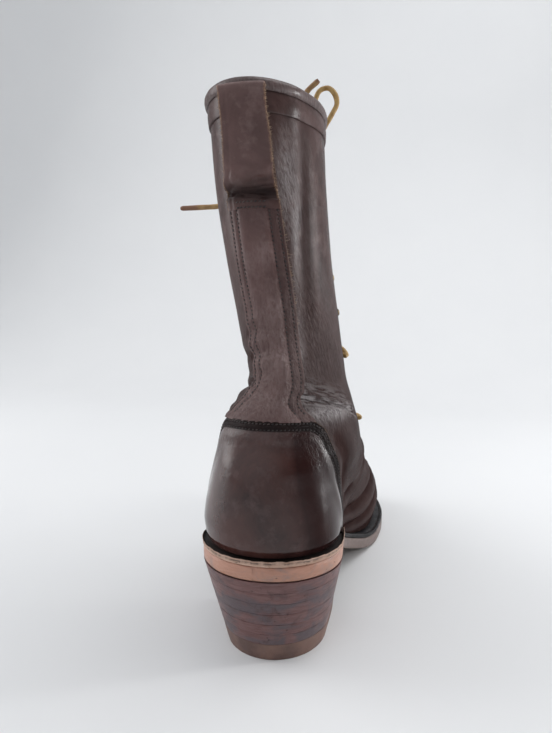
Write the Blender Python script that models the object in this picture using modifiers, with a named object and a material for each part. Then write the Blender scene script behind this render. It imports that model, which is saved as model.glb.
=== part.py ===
"""Lace-up roper boot for the left foot, standing empty on its sole.

Sizes here are millimetres on the last: y runs from the back of the heel to the toe, x towards the inner
side of the foot, and z up from the floor. Objects are in metres, with the origin at the middle of the
heel's tread.
"""

import math
from collections import namedtuple

import bmesh
import bpy
import numpy as np
from mathutils import Vector

MM = 0.001

# Driving sizes of the last
LAST_BACK = 5.5
LAST_LENGTH = 287.5
HALF_BALL = 46.5
INSTEP_HEIGHT = 94.0

# Sole and heel
OUTSOLE = 8.5
WELT = 3.0
HEEL_CAP = 10.5
LIFTS = 6
SOLE_BEVEL = 0.8
HEEL_LEDGE = 4.8
FORE_LEDGE = 7.8
LEDGE_GROWS_FROM, LEDGE_GROWS_TO = 0.25, 0.60
RAND_LIP = 0.6
SEAM_INSET = 4.0
INSOLE_INSET = 5.4
INSOLE_RISE = 2.5
WELT_BACK = 92.0

# Leather and trim
GAP = 0.3
SEAT_GAP = 0.7
WALL = 2.4
OVERLAY = 1.0
OVERLAY_GAP, COUNTER_GAP = 0.45, 0.9
STRAP = 1.5
TONGUE = 2.6
TONGUE_GAP = 0.5
TONGUE_SLACK, TONGUE_SLACK_FROM, TONGUE_SLACK_TO = 2.6, 13.0, 13.6
BAND_LOW = 15.5
BINDING_LOW = 5.0
COUNTER_FRONT = 75.0
COUNTER_FOOT = 0.3
COLLAR_END = 0.985
BEAD = 1.3

# Lacing
EYELET_ROWS = 5
HOOK_ROWS = 5
FIRST_ROW, LAST_ROW = 9.0, 23.5
EYELET_SETBACK = 9.0
LACE_RADIUS = 1.8
LACE_SETBACK = 2.6
LACE_LIFT = LACE_RADIUS + 2 * GAP
EYELET_RING = 3.1
EYELET_WIRE = 0.9
EYELET_SEAT = 0.6

# Mesh steps
SIDE_STEPS = 16
FRONT_STEPS = 4
COUNTER_STEPS = 11
COUNTER_COLUMNS, COUNTER_CROWDING = 23, 1.5
STAY_COLUMNS = 8
TONGUE_STEPS = 15
TONGUE_COLUMNS = 8
SOLE_STEPS = 38
WELT_STEPS = 46
RAND_STEPS = 24
INSOLE_STEPS = 24
HEEL_STEPS = 9
LACE_STEPS = 3
CROSSING_FROM = 0.15
END_ANGLE = 0.04
FINE_STEPS = 400
LEVEL_CLEAR = 0.1
SMALL_STEP = 1e-3

# Underside of the sole: distance from the heel's back edge, height over the floor
Tread = namedtuple("Tread", "y z")
TREAD = [
    Tread(0, 52.0),
    Tread(40, 49.5),
    Tread(75, 42.5),
    Tread(110, 28.5),
    Tread(150, 11.5),
    Tread(178, 2.2),
    Tread(195, 0.0),
    Tread(245, 0.0),
    Tread(275, 3.2),
    Tread(305, 11.0),
]

# One row for each section of the last, from the feather line up to the rim.
# back: y of the back line. rise: height over the heel seat. reach: front point, in last lengths.
# front: height of the front point over the toe seat, in instep heights. heel, waist, ball: half widths, in
# half ball widths. heel_x, waist_x, fore_x: middle line. back_round, front_round: depth of the round ends.
# sag: how far the section follows the curve of the sole.
Section = namedtuple(
    "Section",
    "back rise reach front heel waist ball heel_x waist_x fore_x back_round front_round sag",
)
SECTIONS = [
    Section(5.5, 0.0, 1.000, 0.000, 0.800, 0.670, 0.945, 1.0, -2.0, 7.0, 40, 78, 1.00),
    Section(4.0, 5.5, 1.014, 0.152, 0.850, 0.730, 1.000, 1.0, -2.0, 7.0, 42, 80, 1.00),
    Section(3.0, 13.0, 1.003, 0.314, 0.860, 0.765, 0.970, 0.5, -1.0, 7.0, 44, 80, 0.90),
    Section(3.0, 21.0, 0.965, 0.462, 0.850, 0.765, 0.905, 0.5, 0.0, 7.5, 46, 80, 0.75),
    Section(3.5, 29.5, 0.892, 0.583, 0.830, 0.765, 0.830, 0.5, 2.0, 8.0, 48, 78, 0.60),
    Section(4.5, 38.0, 0.802, 0.690, 0.807, 0.765, 0.785, 0.5, 4.5, 9.0, 48, 72, 0.45),
    Section(6.0, 47.0, 0.711, 0.825, 0.795, 0.775, 0.742, 1.0, 8.0, 10.0, 48, 64, 0.30),
    Section(8.5, 56.0, 0.635, 1.000, 0.785, 0.785, 0.710, 1.0, 11.0, 12.0, 48, 58, 0.15),
    Section(11.0, 66.0, 0.572, 1.229, 0.775, 0.775, 0.688, 1.5, 11.0, 12.0, 48, 54, 0.00),
    Section(14.5, 79.0, 0.517, 1.511, 0.710, 0.720, 0.645, 2.5, 10.0, 11.0, 50, 52, 0.00),
    Section(17.5, 95.0, 0.475, 1.821, 0.550, 0.613, 0.590, 8.5, 9.5, 9.0, 54, 54, 0.00),
    Section(17.0, 124.0, 0.440, 2.252, 0.634, 0.645, 0.602, 5.5, 5.5, 5.5, 56, 56, 0.00),
    Section(13.0, 164.0, 0.419, 2.817, 0.645, 0.656, 0.624, 0.0, 0.0, 0.0, 56, 56, 0.00),
    Section(8.0, 207.0, 0.405, 3.396, 0.667, 0.677, 0.645, -4.0, -4.0, -4.0, 56, 56, 0.00),
    Section(4.0, 248.0, 0.395, 3.948, 0.667, 0.667, 0.660, -6.0, -6.0, -6.0, 56, 56, 0.00),
]
HEEL_AT, WAIST_AT, BALL_AT = 0.14, 0.42, 0.70
TOP = len(SECTIONS) - 1

# Throat: section number of its foot
THROAT = 6.5

# Rows of the upper's mesh: section number where a stretch ends, steps in it
Stretch = namedtuple("Stretch", "end steps")
STRETCHES = [Stretch(THROAT, 10), Stretch(8.0, 2), Stretch(11.5, 11), Stretch(TOP, 4)]

# Facings beside the throat: section number, half the gap between them
Facing = namedtuple("Facing", "level gap")
FACINGS = [Facing(6.5, 5.0), Facing(9.0, 7.5), Facing(11.0, 8.0), Facing(14.0, 6.0)]

# Tongue: section number, half width
TongueRow = namedtuple("TongueRow", "level half")
TONGUE_ROWS = [TongueRow(5.6, 15.0), TongueRow(9.0, 19.0), TongueRow(14.1, 24.0)]

# Heel tread on the floor
HEEL_X, HEEL_BACK, HEEL_BREAST = 2.5, 13.4, 76.0
SEAT_BREAST = 88.0
HEEL_HALF, HEEL_ROUND = 30.0, 34.0
HEEL_Y = (HEEL_BACK + HEEL_BREAST) / 2

# Top edge of the heel counter: distance from the heel's back edge, height over the floor
Edge = namedtuple("Edge", "y z")
COUNTER_TOP = [Edge(0, 139), Edge(25, 135), Edge(34, 126), Edge(42, 109), Edge(60, 78), Edge(76, 70)]

# Back stay: height over the floor, half width
Stay = namedtuple("Stay", "z half")
STAY = [
    Stay(140.5, 17.0),
    Stay(150, 14.0),
    Stay(172, 13.0),
    Stay(215, 14.0),
    Stay(262, 13.5),
    Stay(295.5, 11.0),
]

# Pull strap: a doubled strip, up along the shaft, over a fold at the rim and down again.
# z: height, out: distance of the strip's middle from the shaft, curl: how far it wraps round the shaft.
Strap = namedtuple("Strap", "z out curl")
STRAP_INNER = [
    Strap(258, 2.65, 1.0),
    Strap(275, 2.65, 1.0),
    Strap(290, 2.7, 1.0),
    Strap(298, 2.9, 1.0),
    Strap(303, 3.4, 1.0),
]
STRAP_FOLD_Z, STRAP_FOLD_RADIUS, STRAP_FOLD_STEPS = 308.0, 3.5, 6
STRAP_OUTER = [
    Strap(300, 10.0, 0.15),
    Strap(292, 8.5, 0.25),
    Strap(284, 6.5, 0.45),
    Strap(276, 5.0, 0.75),
    Strap(269, 4.6, 1.0),
    Strap(257, 4.55, 1.0),
]
STRAP_HALF = 12.2
STRAP_COLUMNS = 7

# Free lace: the knot, and the routes that leave it, as points on the last.
# leaves: way out of the knot. points: the free stretch. returns: way back into the knot, on a loop.
KNOT = np.array((-4.5, 128.5, 294.0))
KNOT_HALF = np.array((6.5, 4.5, 5.0))
KNOT_STEM = 3.0
RUN_LEAVES = (0.50, 0.0, -0.87)
Route = namedtuple("Route", "leaves points returns")
ROUTES = {
    "lace_loop_right": Route(
        (0.45, 0.35, 0.82),
        [
            (4.5, 137.0, 309.0),
            (6.5, 138.5, 326.0),
            (8.1, 137.0, 340.0),
            (12.0, 136.0, 347.0),
            (17.5, 136.0, 348.0),
            (22.5, 136.0, 343.0),
            (23.6, 136.0, 337.0),
            (20.5, 136.5, 331.0),
            (13.5, 138.0, 320.0),
            (9.0, 137.5, 306.0),
        ],
        (0.90, 0.43, 0.0),
    ),
    "lace_loop_left": Route(
        (-0.60, 0.75, -0.28),
        [
            (-16.0, 141.0, 288.0),
            (-24.0, 147.0, 275.0),
            (-26.0, 149.0, 258.0),
            (-20.0, 150.0, 246.0),
            (-12.5, 150.0, 250.0),
            (-8.0, 148.5, 264.0),
            (-5.5, 144.5, 278.0),
        ],
        (0.15, 0.85, -0.50),
    ),
    "lace_end_right": Route(
        (-0.30, 0.20, 0.93),
        [(-5.5, 132.5, 312.0), (-1.5, 133.0, 330.0), (3.0, 132.0, 345.0), (11.5, 132.0, 352.3)],
        None,
    ),
    "lace_end_left": Route(
        (-0.90, -0.30, 0.30),
        [
            (-24.0, 131.0, 287.5),
            (-40.0, 134.5, 275.5),
            (-60.7, 131.0, 270.2),
            (-75.6, 130.0, 269.6),
            (-90.5, 130.0, 269.4),
        ],
        None,
    ),
}
ROUTE_STEP = 8.0

# Colours
Finish = namedtuple("Finish", "colour roughness metallic")
FINISHES = {
    "shaft_leather": Finish((0.050, 0.031, 0.026), 0.45, 0.0),
    "counter_leather": Finish((0.032, 0.021, 0.021), 0.32, 0.0),
    "strap_leather": Finish((0.060, 0.033, 0.024), 0.50, 0.0),
    "lining_leather": Finish((0.160, 0.090, 0.052), 0.70, 0.0),
    "rand_leather": Finish((0.360, 0.205, 0.125), 0.75, 0.0),
    "sole_leather": Finish((0.230, 0.120, 0.075), 0.60, 0.0),
    "welt_leather": Finish((0.022, 0.015, 0.013), 0.45, 0.0),
    "stack_leather": Finish((0.075, 0.043, 0.041), 0.50, 0.0),
    "cap_rubber": Finish((0.085, 0.045, 0.034), 0.60, 0.0),
    "rawhide": Finish((0.300, 0.190, 0.085), 0.65, 0.0),
    "eyelet_brass": Finish((0.100, 0.080, 0.055), 0.40, 1.0),
}


def glide(knots, values, at):
    """Smooth curve through the knots that never overshoots them."""
    knots = np.asarray(knots, float)
    values = np.asarray(values, float)
    steps = np.diff(knots)
    slopes = np.diff(values) / steps
    before, after = slopes[:-1], slopes[1:]
    level = before * after <= 0
    inner = np.where(level, 0.0, 2 * before * after / np.where(level, 1.0, before + after))
    tangents = np.concatenate([slopes[:1], inner, slopes[-1:]])
    i = np.clip(np.searchsorted(knots, at, side="right") - 1, 0, len(steps) - 1)
    u = (at - knots[i]) / steps[i]
    start = (1 + 2 * u) * (1 - u) ** 2 * values[i] + u * (1 - u) ** 2 * steps[i] * tangents[i]
    end = u * u * (3 - 2 * u) * values[i + 1] + u * u * (u - 1) * steps[i] * tangents[i + 1]
    return start + end


def column(rows, name):
    return [getattr(row, name) for row in rows]


def along(rows, name, at, by):
    """Value of a table's column at a place along another of its columns."""
    return glide(column(rows, by), column(rows, name), at)


def ease(u):
    u = np.clip(u, 0.0, 1.0)
    return u * u * (3 - 2 * u)


def tread(y):
    return along(TREAD, "z", np.asarray(y, float), "y")


def seat(y):
    """Top of welt and rand, where the upper sits."""
    return tread(y) + OUTSOLE + GAP + WELT + SEAT_GAP


HEEL_SEAT = float(seat(LAST_BACK))
TOE_SEAT = float(seat(LAST_BACK + LAST_LENGTH))


def section(level):
    return Section(*[glide(range(TOP + 1), column(SECTIONS, name), level) for name in Section._fields])


def between(s, heel, waist, ball, start):
    back = heel + (waist - heel) * ease((s - start) / (WAIST_AT - start))
    fore = waist + (ball - waist) * ease((s - WAIST_AT) / (BALL_AT - WAIST_AT))
    return np.where(s < WAIST_AT, back, fore)


def round_end(distance, depth):
    return np.sqrt(np.clip(1 - np.clip(1 - distance / depth, 0, 1) ** 2, 0, 1))


def foot_share(angle):
    """Share of a section's length, from its back, at an angle."""
    return (1 - np.cos(angle)) / 2


def share_angle(share):
    return np.arccos(1 - 2 * share)


def front_y(row):
    return LAST_BACK + row.reach * LAST_LENGTH


def last_point(angle, level):
    """Point of the last: angle 0 is the back line, pi the front line, and positive angles the inner side."""
    angle, level = np.broadcast_arrays(np.asarray(angle, float), np.asarray(level, float))
    row = section(level)
    s = foot_share(angle)
    length = front_y(row) - row.back
    ahead = s * length
    half = HALF_BALL * between(s, row.heel, row.waist, row.ball, HEEL_AT)
    fore = row.waist_x + (row.fore_x - row.waist_x) * ease((s - WAIST_AT) / (1 - WAIST_AT))
    back = row.heel_x + (row.waist_x - row.heel_x) * ease(s / WAIST_AT)
    middle = np.where(s < WAIST_AT, back, fore)
    ends = round_end(ahead, row.back_round) * round_end(length - ahead, row.front_round)
    sole_curve = seat(LAST_BACK + LAST_LENGTH * s) - HEEL_SEAT * (1 - s) - TOE_SEAT * s
    back_z = HEEL_SEAT + row.rise
    front_z = TOE_SEAT + row.front * (INSTEP_HEIGHT - TOE_SEAT)
    x = middle + np.sign(np.sin(angle)) * half * ends
    z = back_z * (1 - s) + front_z * s + row.sag * sole_curve
    return np.stack([x, row.back + ahead, z], -1)


def skin(angle, level, out=0.0):
    """Point of the last moved out along its normal."""
    across = last_point(np.add(angle, SMALL_STEP), level) - last_point(np.subtract(angle, SMALL_STEP), level)
    upward = last_point(angle, np.add(level, SMALL_STEP)) - last_point(angle, np.subtract(level, SMALL_STEP))
    normal = np.cross(across, upward)
    normal /= np.linalg.norm(normal, axis=-1, keepdims=True)
    return last_point(angle, level) + normal * np.asarray(out, float)[..., None]


def end_angle(reach, half, depth, length):
    """Angle from an end of a section where its half width is reach."""
    distance = depth * (1 - np.sqrt(1 - (reach / half) ** 2))
    return share_angle(distance / length)


def front_angle(level, reach):
    row = section(level)
    return end_angle(reach, HALF_BALL * row.ball, row.front_round, front_y(row) - row.back)


def back_angle(level, reach):
    row = section(level)
    return end_angle(reach, HALF_BALL * row.heel, row.back_round, front_y(row) - row.back)


def facing_gap(level):
    return along(FACINGS, "gap", np.maximum(level, THROAT), "level")


def wall_levels():
    """Section numbers of the upper's rows."""
    levels = [0.0]
    for stretch in STRETCHES:
        levels += list(np.linspace(levels[-1], stretch.end, stretch.steps + 1)[1:])
    return np.array(levels)


def wall_angle(share, level):
    """Angle at a share of the way from the back line, 0, to a facing, 1 or -1."""
    return share * (math.pi - front_angle(level, facing_gap(level)))


LEVELS = np.linspace(0, TONGUE_ROWS[-1].level, FINE_STEPS)


def back_level(z):
    """Section number at a height on the back line."""
    return np.interp(z, last_point(0.0, LEVELS)[:, 2], LEVELS)


RIM_Z = float(last_point(0.0, TOP)[2])


def material(name):
    made = bpy.data.materials.get(name)
    if made:
        return made
    finish = FINISHES[name]
    made = bpy.data.materials.new(name)
    made.use_nodes = True
    shader = made.node_tree.nodes["Principled BSDF"]
    shader.inputs["Base Color"].default_value = (*finish.colour, 1.0)
    shader.inputs["Roughness"].default_value = finish.roughness
    shader.inputs["Metallic"].default_value = finish.metallic
    return made


def place(name, data, finish):
    """A named object on the last's frame."""
    data.materials.append(material(finish))
    made = bpy.data.objects.new(name, data)
    made.parent = last_frame
    boot.objects.link(made)
    return made


def mesh_object(name, points, faces, finish, closed=True):
    mesh = bpy.data.meshes.new(name)
    mesh.from_pydata((np.reshape(points, (-1, 3)) * MM).tolist(), [], faces)
    if closed:
        work = bmesh.new()
        work.from_mesh(mesh)
        bmesh.ops.recalc_face_normals(work, faces=work.faces)
        work.to_mesh(mesh)
        work.free()
    mesh.shade_smooth()
    mesh.set_sharp_from_angle(angle=math.radians(40))
    return place(name, mesh, finish)


def loft(name, sections, finish):
    """Solid through closed sections of equal point counts, with both ends capped."""
    sections = np.asarray(sections)
    count, points = sections.shape[:2]
    faces = []
    for i in range(count - 1):
        for j in range(points):
            k = (j + 1) % points
            faces.append((i * points + j, i * points + k, (i + 1) * points + k, (i + 1) * points + j))
    for first in (0, (count - 1) * points):
        for j in range(points // 2 - 1):
            far = points - 1 - j
            faces.append((first + j, first + j + 1, first + far - 1, first + far))
    return mesh_object(name, sections, faces, finish)


def layer(name, angles, levels, inner, outer, finish):
    """Sheet along the last: each row of angles and levels is one section across it."""
    angles, levels = np.broadcast_arrays(np.asarray(angles, float), np.asarray(levels, float))
    inner = np.broadcast_to(inner, angles.shape)
    outer = np.broadcast_to(outer, angles.shape)
    near = skin(angles, levels, inner)
    far = skin(angles, levels, outer)
    return loft(name, np.concatenate([near, far[:, ::-1]], axis=1), finish)


def sole_ledge(angle):
    """How far the sole stands out from the feather line."""
    grown = (foot_share(angle) - LEDGE_GROWS_FROM) / (LEDGE_GROWS_TO - LEDGE_GROWS_FROM)
    return HEEL_LEDGE + (FORE_LEDGE - HEEL_LEDGE) * ease(grown)


def sole_edge(angle, beyond=0.0):
    """Outline of the sole: the feather line moved out level by the ledge and a distance beyond it."""
    angle = np.asarray(angle, float)
    heading = last_point(angle + SMALL_STEP, 0.0) - last_point(angle - SMALL_STEP, 0.0)
    normal = np.stack([heading[..., 1], -heading[..., 0]], -1)
    normal /= np.linalg.norm(normal, axis=-1, keepdims=True)
    return last_point(angle, 0.0)[..., :2] + normal * (sole_ledge(angle) + beyond)[..., None]


def raised(outline, height):
    """Outline lifted to a height over the tread."""
    return np.concatenate([outline, (tread(outline[..., 1]) + height)[..., None]], -1)


def build_upper():
    levels = wall_levels()
    rows = len(levels) - 1
    opening = front_angle(levels, facing_gap(levels))
    sides = wall_angle(np.linspace(-1, 1, 2 * SIDE_STEPS + 1), levels[:, None])
    fronts = math.pi + np.linspace(-1, 1, FRONT_STEPS + 1)[1:-1] * opening[:, None]
    angles = np.concatenate([sides, fronts], axis=1)
    columns = angles.shape[1]
    faces = []
    for i in range(rows):
        for j in range(columns):
            if levels[i] >= THROAT and j >= 2 * SIDE_STEPS:
                continue
            k = (j + 1) % columns
            faces.append((i * columns + j, i * columns + k, (i + 1) * columns + k, (i + 1) * columns + j))
    upper = mesh_object("upper", skin(angles, levels[:, None]), faces, "shaft_leather", closed=False)
    work = bmesh.new()
    work.from_mesh(upper.data)
    loose = [vert for vert in work.verts if not vert.link_faces]
    bmesh.ops.delete(work, geom=loose, context="VERTS")
    work.to_mesh(upper.data)
    work.free()
    wall = upper.modifiers.new("wall", "SOLIDIFY")
    wall.thickness = WALL * MM
    wall.offset = -1


def counter_level(share):
    """Section number of the counter's top edge at a share of the way round."""
    points = last_point(wall_angle(share, LEVELS), LEVELS)
    over = points[:, 2] - along(COUNTER_TOP, "z", points[:, 1], "y")
    return np.interp(0.0, over, LEVELS)


def build_counter():
    s = (COUNTER_FRONT - SECTIONS[1].back) / (front_y(SECTIONS[1]) - SECTIONS[1].back)
    reach = share_angle(s) / wall_angle(1.0, 1.0)
    even = np.linspace(-1, 1, COUNTER_COLUMNS)
    shares = reach * np.sign(even) * (1 - (1 - np.abs(even)) ** COUNTER_CROWDING)
    tops = np.array([counter_level(share) for share in shares])
    levels = COUNTER_FOOT + (tops - COUNTER_FOOT)[:, None] * np.linspace(0, 1, COUNTER_STEPS + 1)
    angles = wall_angle(shares[:, None], levels)
    layer("counter", angles, levels, COUNTER_GAP, COUNTER_GAP + OVERLAY, "counter_leather")


def build_back_stay():
    levels = wall_levels()
    foot, head = back_level(STAY[0].z), back_level(STAY[-1].z)
    inner = (levels > foot + LEVEL_CLEAR) & (levels < head - LEVEL_CLEAR)
    levels = np.concatenate([[foot], levels[inner], [head]])
    heights = last_point(np.zeros(len(levels)), levels)[:, 2]
    reach = back_angle(levels, along(STAY, "half", heights, "z"))
    angles = reach[:, None] * np.linspace(-1, 1, STAY_COLUMNS)
    layer("back_stay", angles, levels[:, None], OVERLAY_GAP, OVERLAY_GAP + OVERLAY, "shaft_leather")


def collar_angles():
    """Angles of the upper's columns at the rim, kept just clear of the throat's edges."""
    shares = np.linspace(-1, 1, 2 * SIDE_STEPS + 1)
    shares[0], shares[-1] = -COLLAR_END, COLLAR_END
    return wall_angle(shares, TOP)


def build_collar_band():
    low = float(back_level(RIM_Z - BAND_LOW))
    top = float(back_level(RIM_Z - BINDING_LOW - 2 * GAP))
    rows = np.array([[low, top]])
    layer("collar_band", collar_angles()[:, None], rows, OVERLAY_GAP, OVERLAY_GAP + OVERLAY, "shaft_leather")


def build_collar_binding():
    low = float(back_level(RIM_Z - BINDING_LOW))
    inside = -WALL - OVERLAY_GAP
    # Section points: section number, distance out, height over the rim
    bead = [
        (low, OVERLAY_GAP + OVERLAY, 0),
        (TOP, OVERLAY_GAP + BEAD, BEAD),
        (TOP, inside - BEAD, BEAD),
        (low, inside - OVERLAY, 0),
    ]
    seam = [(low, OVERLAY_GAP, 0), (TOP, OVERLAY_GAP, GAP), (TOP, inside, GAP), (low, inside, 0)]
    angles = collar_angles()
    rows = []
    for level, out, up in bead + seam[::-1]:
        rows.append(skin(angles, level, np.full(angles.shape, out)) + (0, 0, up))
    loft("collar_binding", np.stack(rows, axis=1), "shaft_leather")


def strap_path():
    """Middle line of the strap: height, distance out and curl."""
    start, end = STRAP_INNER[-1], STRAP_OUTER[0]
    fold = []
    for k in range(STRAP_FOLD_STEPS + 1):
        turn = math.pi * k / STRAP_FOLD_STEPS
        z = STRAP_FOLD_Z + STRAP_FOLD_RADIUS * math.sin(turn)
        out = start.out + STRAP_FOLD_RADIUS * (1 - math.cos(turn))
        curl = start.curl + (end.curl - start.curl) * float(ease(k / STRAP_FOLD_STEPS))
        fold.append(Strap(z, out, curl))
    return STRAP_INNER + fold + STRAP_OUTER


def build_pull_strap():
    path = strap_path()
    line = np.array([(row.out, row.z) for row in path])
    heading = np.gradient(line, axis=0)
    heading /= np.linalg.norm(heading, axis=1, keepdims=True)
    sideways = np.stack([-heading[:, 1], heading[:, 0]], -1)
    across = np.linspace(-1, 1, STRAP_COLUMNS)
    faces = []
    for sign in (1, -1):
        face = line + sign * STRAP / 2 * sideways
        levels = back_level(face[:, 1])
        angles = back_angle(levels, STRAP_HALF)[:, None] * across
        wrapped = skin(angles, levels[:, None], np.repeat(face[:, :1], STRAP_COLUMNS, axis=1))
        flat = skin(np.zeros(len(levels)), levels, face[:, 0])[:, None, :] + np.stack(
            [STRAP_HALF * across, 0 * across, 0 * across], -1
        )
        curl = np.array(column(path, "curl"))[:, None, None]
        faces.append(curl * wrapped + (1 - curl) * flat)
    loft("pull_strap", np.concatenate([faces[0], faces[1][:, ::-1]], axis=1), "strap_leather")


def build_tongue():
    levels = np.linspace(TONGUE_ROWS[0].level, TONGUE_ROWS[-1].level, TONGUE_STEPS)
    reach = front_angle(levels, along(TONGUE_ROWS, "half", levels, "level"))
    angles = math.pi + reach[:, None] * np.linspace(-1, 1, TONGUE_COLUMNS)
    slack = (levels - TONGUE_SLACK_FROM) / (TONGUE_SLACK_TO - TONGUE_SLACK_FROM)
    depth = (WALL + TONGUE_GAP + TONGUE_SLACK * ease(slack))[:, None]
    layer("tongue", angles, levels[:, None], -depth - TONGUE, -depth, "shaft_leather")


def ladder(name, angles, profile, finish):
    """Plate under the last: profile gives its edge, beyond the ledge and over the tread, from below up."""
    left = [raised(sole_edge(-angles, beyond), height) for beyond, height in profile]
    right = [raised(sole_edge(angles, beyond), height) for beyond, height in profile]
    return loft(name, np.stack(left + right[::-1], axis=1), finish)


def build_outsole():
    angles = np.linspace(END_ANGLE, math.pi - END_ANGLE, SOLE_STEPS)
    top_bevel = SOLE_BEVEL / 2
    profile = [(-SOLE_BEVEL, 0.0), (0.0, SOLE_BEVEL), (0.0, OUTSOLE - top_bevel), (-top_bevel, OUTSOLE)]
    ladder("outsole", angles, profile, "sole_leather")


def build_insole():
    angles = np.linspace(END_ANGLE, math.pi - END_ANGLE, INSOLE_STEPS)
    inset = -FORE_LEDGE - INSOLE_INSET
    top = OUTSOLE + GAP + WELT + SEAT_GAP + INSOLE_RISE
    ladder("insole", angles, [(inset, OUTSOLE + GAP), (inset, top)], "lining_leather")


def strip(name, angles, lip, finish):
    """Strip between upper and outsole, as wide as the ledge and the seam inset."""
    inner = sole_edge(angles, -sole_ledge(angles) - SEAM_INSET)
    outer = sole_edge(angles, lip)
    low, high = OUTSOLE + GAP, OUTSOLE + GAP + WELT
    rows = [raised(inner, low), raised(outer, low), raised(outer, high), raised(inner, high)]
    loft(name, np.stack(rows, axis=1), finish)


def build_welt_and_rand():
    rand_end = share_angle((WELT_BACK - LAST_BACK) / LAST_LENGTH)
    welt_end = share_angle((WELT_BACK + 2 * GAP - LAST_BACK) / LAST_LENGTH)
    strip("welt", np.linspace(welt_end, 2 * math.pi - welt_end, WELT_STEPS + 1), 0.0, "welt_leather")
    strip("heel_rand", np.linspace(-rand_end, rand_end, RAND_STEPS + 1), RAND_LIP, "rand_leather")


def heel_edge(part, side):
    """Edge of the heel block: part is 0 on the floor and 1 at the seat."""
    q = 1 - np.cos(np.linspace(END_ANGLE, math.pi / 2, HEEL_STEPS))
    floor_y = HEEL_BACK + q * (HEEL_BREAST - HEEL_BACK)
    floor_x = HEEL_X + side * HEEL_HALF * round_end(floor_y - HEEL_BACK, HEEL_ROUND)
    outline = sole_edge(side * np.linspace(0.0, math.pi / 2, FINE_STEPS))
    back = outline[0, 1]
    seat_y = back + q * (SEAT_BREAST - back)
    seat_x = np.interp(seat_y, outline[:, 1], outline[:, 0])
    return floor_x + part * (seat_x - floor_x), floor_y + part * (seat_y - floor_y)


def heel_layer(name, low_part, high_part, low_z, high_z, finish):
    """One layer of the heel: low_z and high_z give its faces' heights along y."""
    rows = []
    for side in (-1, 1):
        pair = []
        for part, height in ((low_part, low_z), (high_part, high_z)):
            x, y = heel_edge(part, side)
            pair.append(np.stack([x, y, height(y)], -1))
        rows.append(pair)
    return loft(name, np.stack(rows[0] + rows[1][::-1], axis=1), finish)


def build_heel():
    cap_part = HEEL_CAP / TREAD[0].z
    heel_layer("heel_top_lift", 0.0, cap_part, lambda y: 0 * y, lambda y: 0 * y + HEEL_CAP, "cap_rubber")

    def lift_height(share, lift):
        return lambda y: HEEL_CAP + share * (tread(y) - GAP - HEEL_CAP) + lift

    for k in range(LIFTS):
        low, high = k / LIFTS, (k + 1) / LIFTS
        parts = [cap_part + share * (1 - cap_part) for share in (low, high)]
        heights = [lift_height(low, GAP), lift_height(high, 0.0)]
        heel_layer(f"heel_lift_{k + 1}", *parts, *heights, "stack_leather")


def facing_levels():
    """Section numbers of the lacing rows, evenly spaced along the facing."""
    levels = np.linspace(THROAT, TOP, FINE_STEPS)
    edge = skin(math.pi - front_angle(levels, facing_gap(levels)), levels)
    length = np.concatenate([[0], np.cumsum(np.linalg.norm(np.diff(edge, axis=0), axis=1))])
    rows = np.linspace(FIRST_ROW, length[-1] - LAST_ROW, EYELET_ROWS + HOOK_ROWS)
    return np.interp(rows, length, levels)


def facing_point(side, level, setback, out):
    angle = math.pi - side * front_angle(level, facing_gap(level) + setback)
    return skin(angle, level, np.float64(out))


def facing_frame(side, level, out):
    """Place on the facing, its normal, and the way from the throat."""
    place_at = facing_point(side, level, EYELET_SETBACK, out)
    normal = facing_point(side, level, EYELET_SETBACK, out + 1) - place_at
    away = facing_point(side, level, EYELET_SETBACK + 1, out) - place_at
    away -= normal * np.dot(away, normal)
    return place_at, normal, away / np.linalg.norm(away)


def build_eyelets(levels):
    bpy.ops.mesh.primitive_torus_add(
        major_radius=EYELET_RING * MM, minor_radius=EYELET_WIRE * MM, major_segments=8, minor_segments=4
    )
    ring = bpy.context.active_object
    shape = ring.data
    shape.name = "eyelet_ring"
    shape.shade_smooth()
    bpy.data.objects.remove(ring)
    shape.materials.append(material("eyelet_brass"))
    for k, level in enumerate(levels):
        for side, word in ((-1, "outer"), (1, "inner")):
            centre, normal, _ = facing_frame(side, level, EYELET_SEAT + EYELET_WIRE)
            eyelet = bpy.data.objects.new(f"eyelet_{word}_{k + 1}", shape)
            eyelet.parent = last_frame
            eyelet.location = Vector(centre) * MM
            eyelet.rotation_euler = Vector(normal).to_track_quat("Z", "Y").to_euler()
            boot.objects.link(eyelet)


# Speed hook: points along its strip as away from the throat and out from the leather
HookPoint = namedtuple("HookPoint", "away out")
HOOK_PATH = [
    HookPoint(3.6, 0.0),
    HookPoint(0.0, 0.0),
    HookPoint(-2.6, 0.2),
    HookPoint(-3.9, 1.5),
    HookPoint(-4.0, 3.2),
    HookPoint(-2.8, 4.7),
    HookPoint(-0.4, 5.3),
    HookPoint(2.2, 5.8),
]
HOOK_HALF, HOOK_THICK = 2.6, 1.1


def build_hooks(levels):
    line = np.array(HOOK_PATH)
    heading = np.gradient(line, axis=0)
    heading /= np.linalg.norm(heading, axis=1, keepdims=True)
    sideways = np.stack([-heading[:, 1], heading[:, 0]], -1) * HOOK_THICK / 2
    for k, level in enumerate(levels):
        for side, word in ((-1, "outer"), (1, "inner")):
            base, normal, away = facing_frame(side, level, EYELET_SEAT + HOOK_THICK / 2)
            wide = np.cross(normal, away) * HOOK_HALF
            faces = []
            for sign in (1, -1):
                path = line + sign * sideways
                middle = base + path[:, :1] * away + path[:, 1:] * normal
                faces.append((middle - wide, middle + wide))
            rows = [faces[0][0], faces[0][1], faces[1][1], faces[1][0]]
            loft(f"hook_{word}_{k + 1}", np.stack(rows, axis=1), "eyelet_brass")


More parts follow.
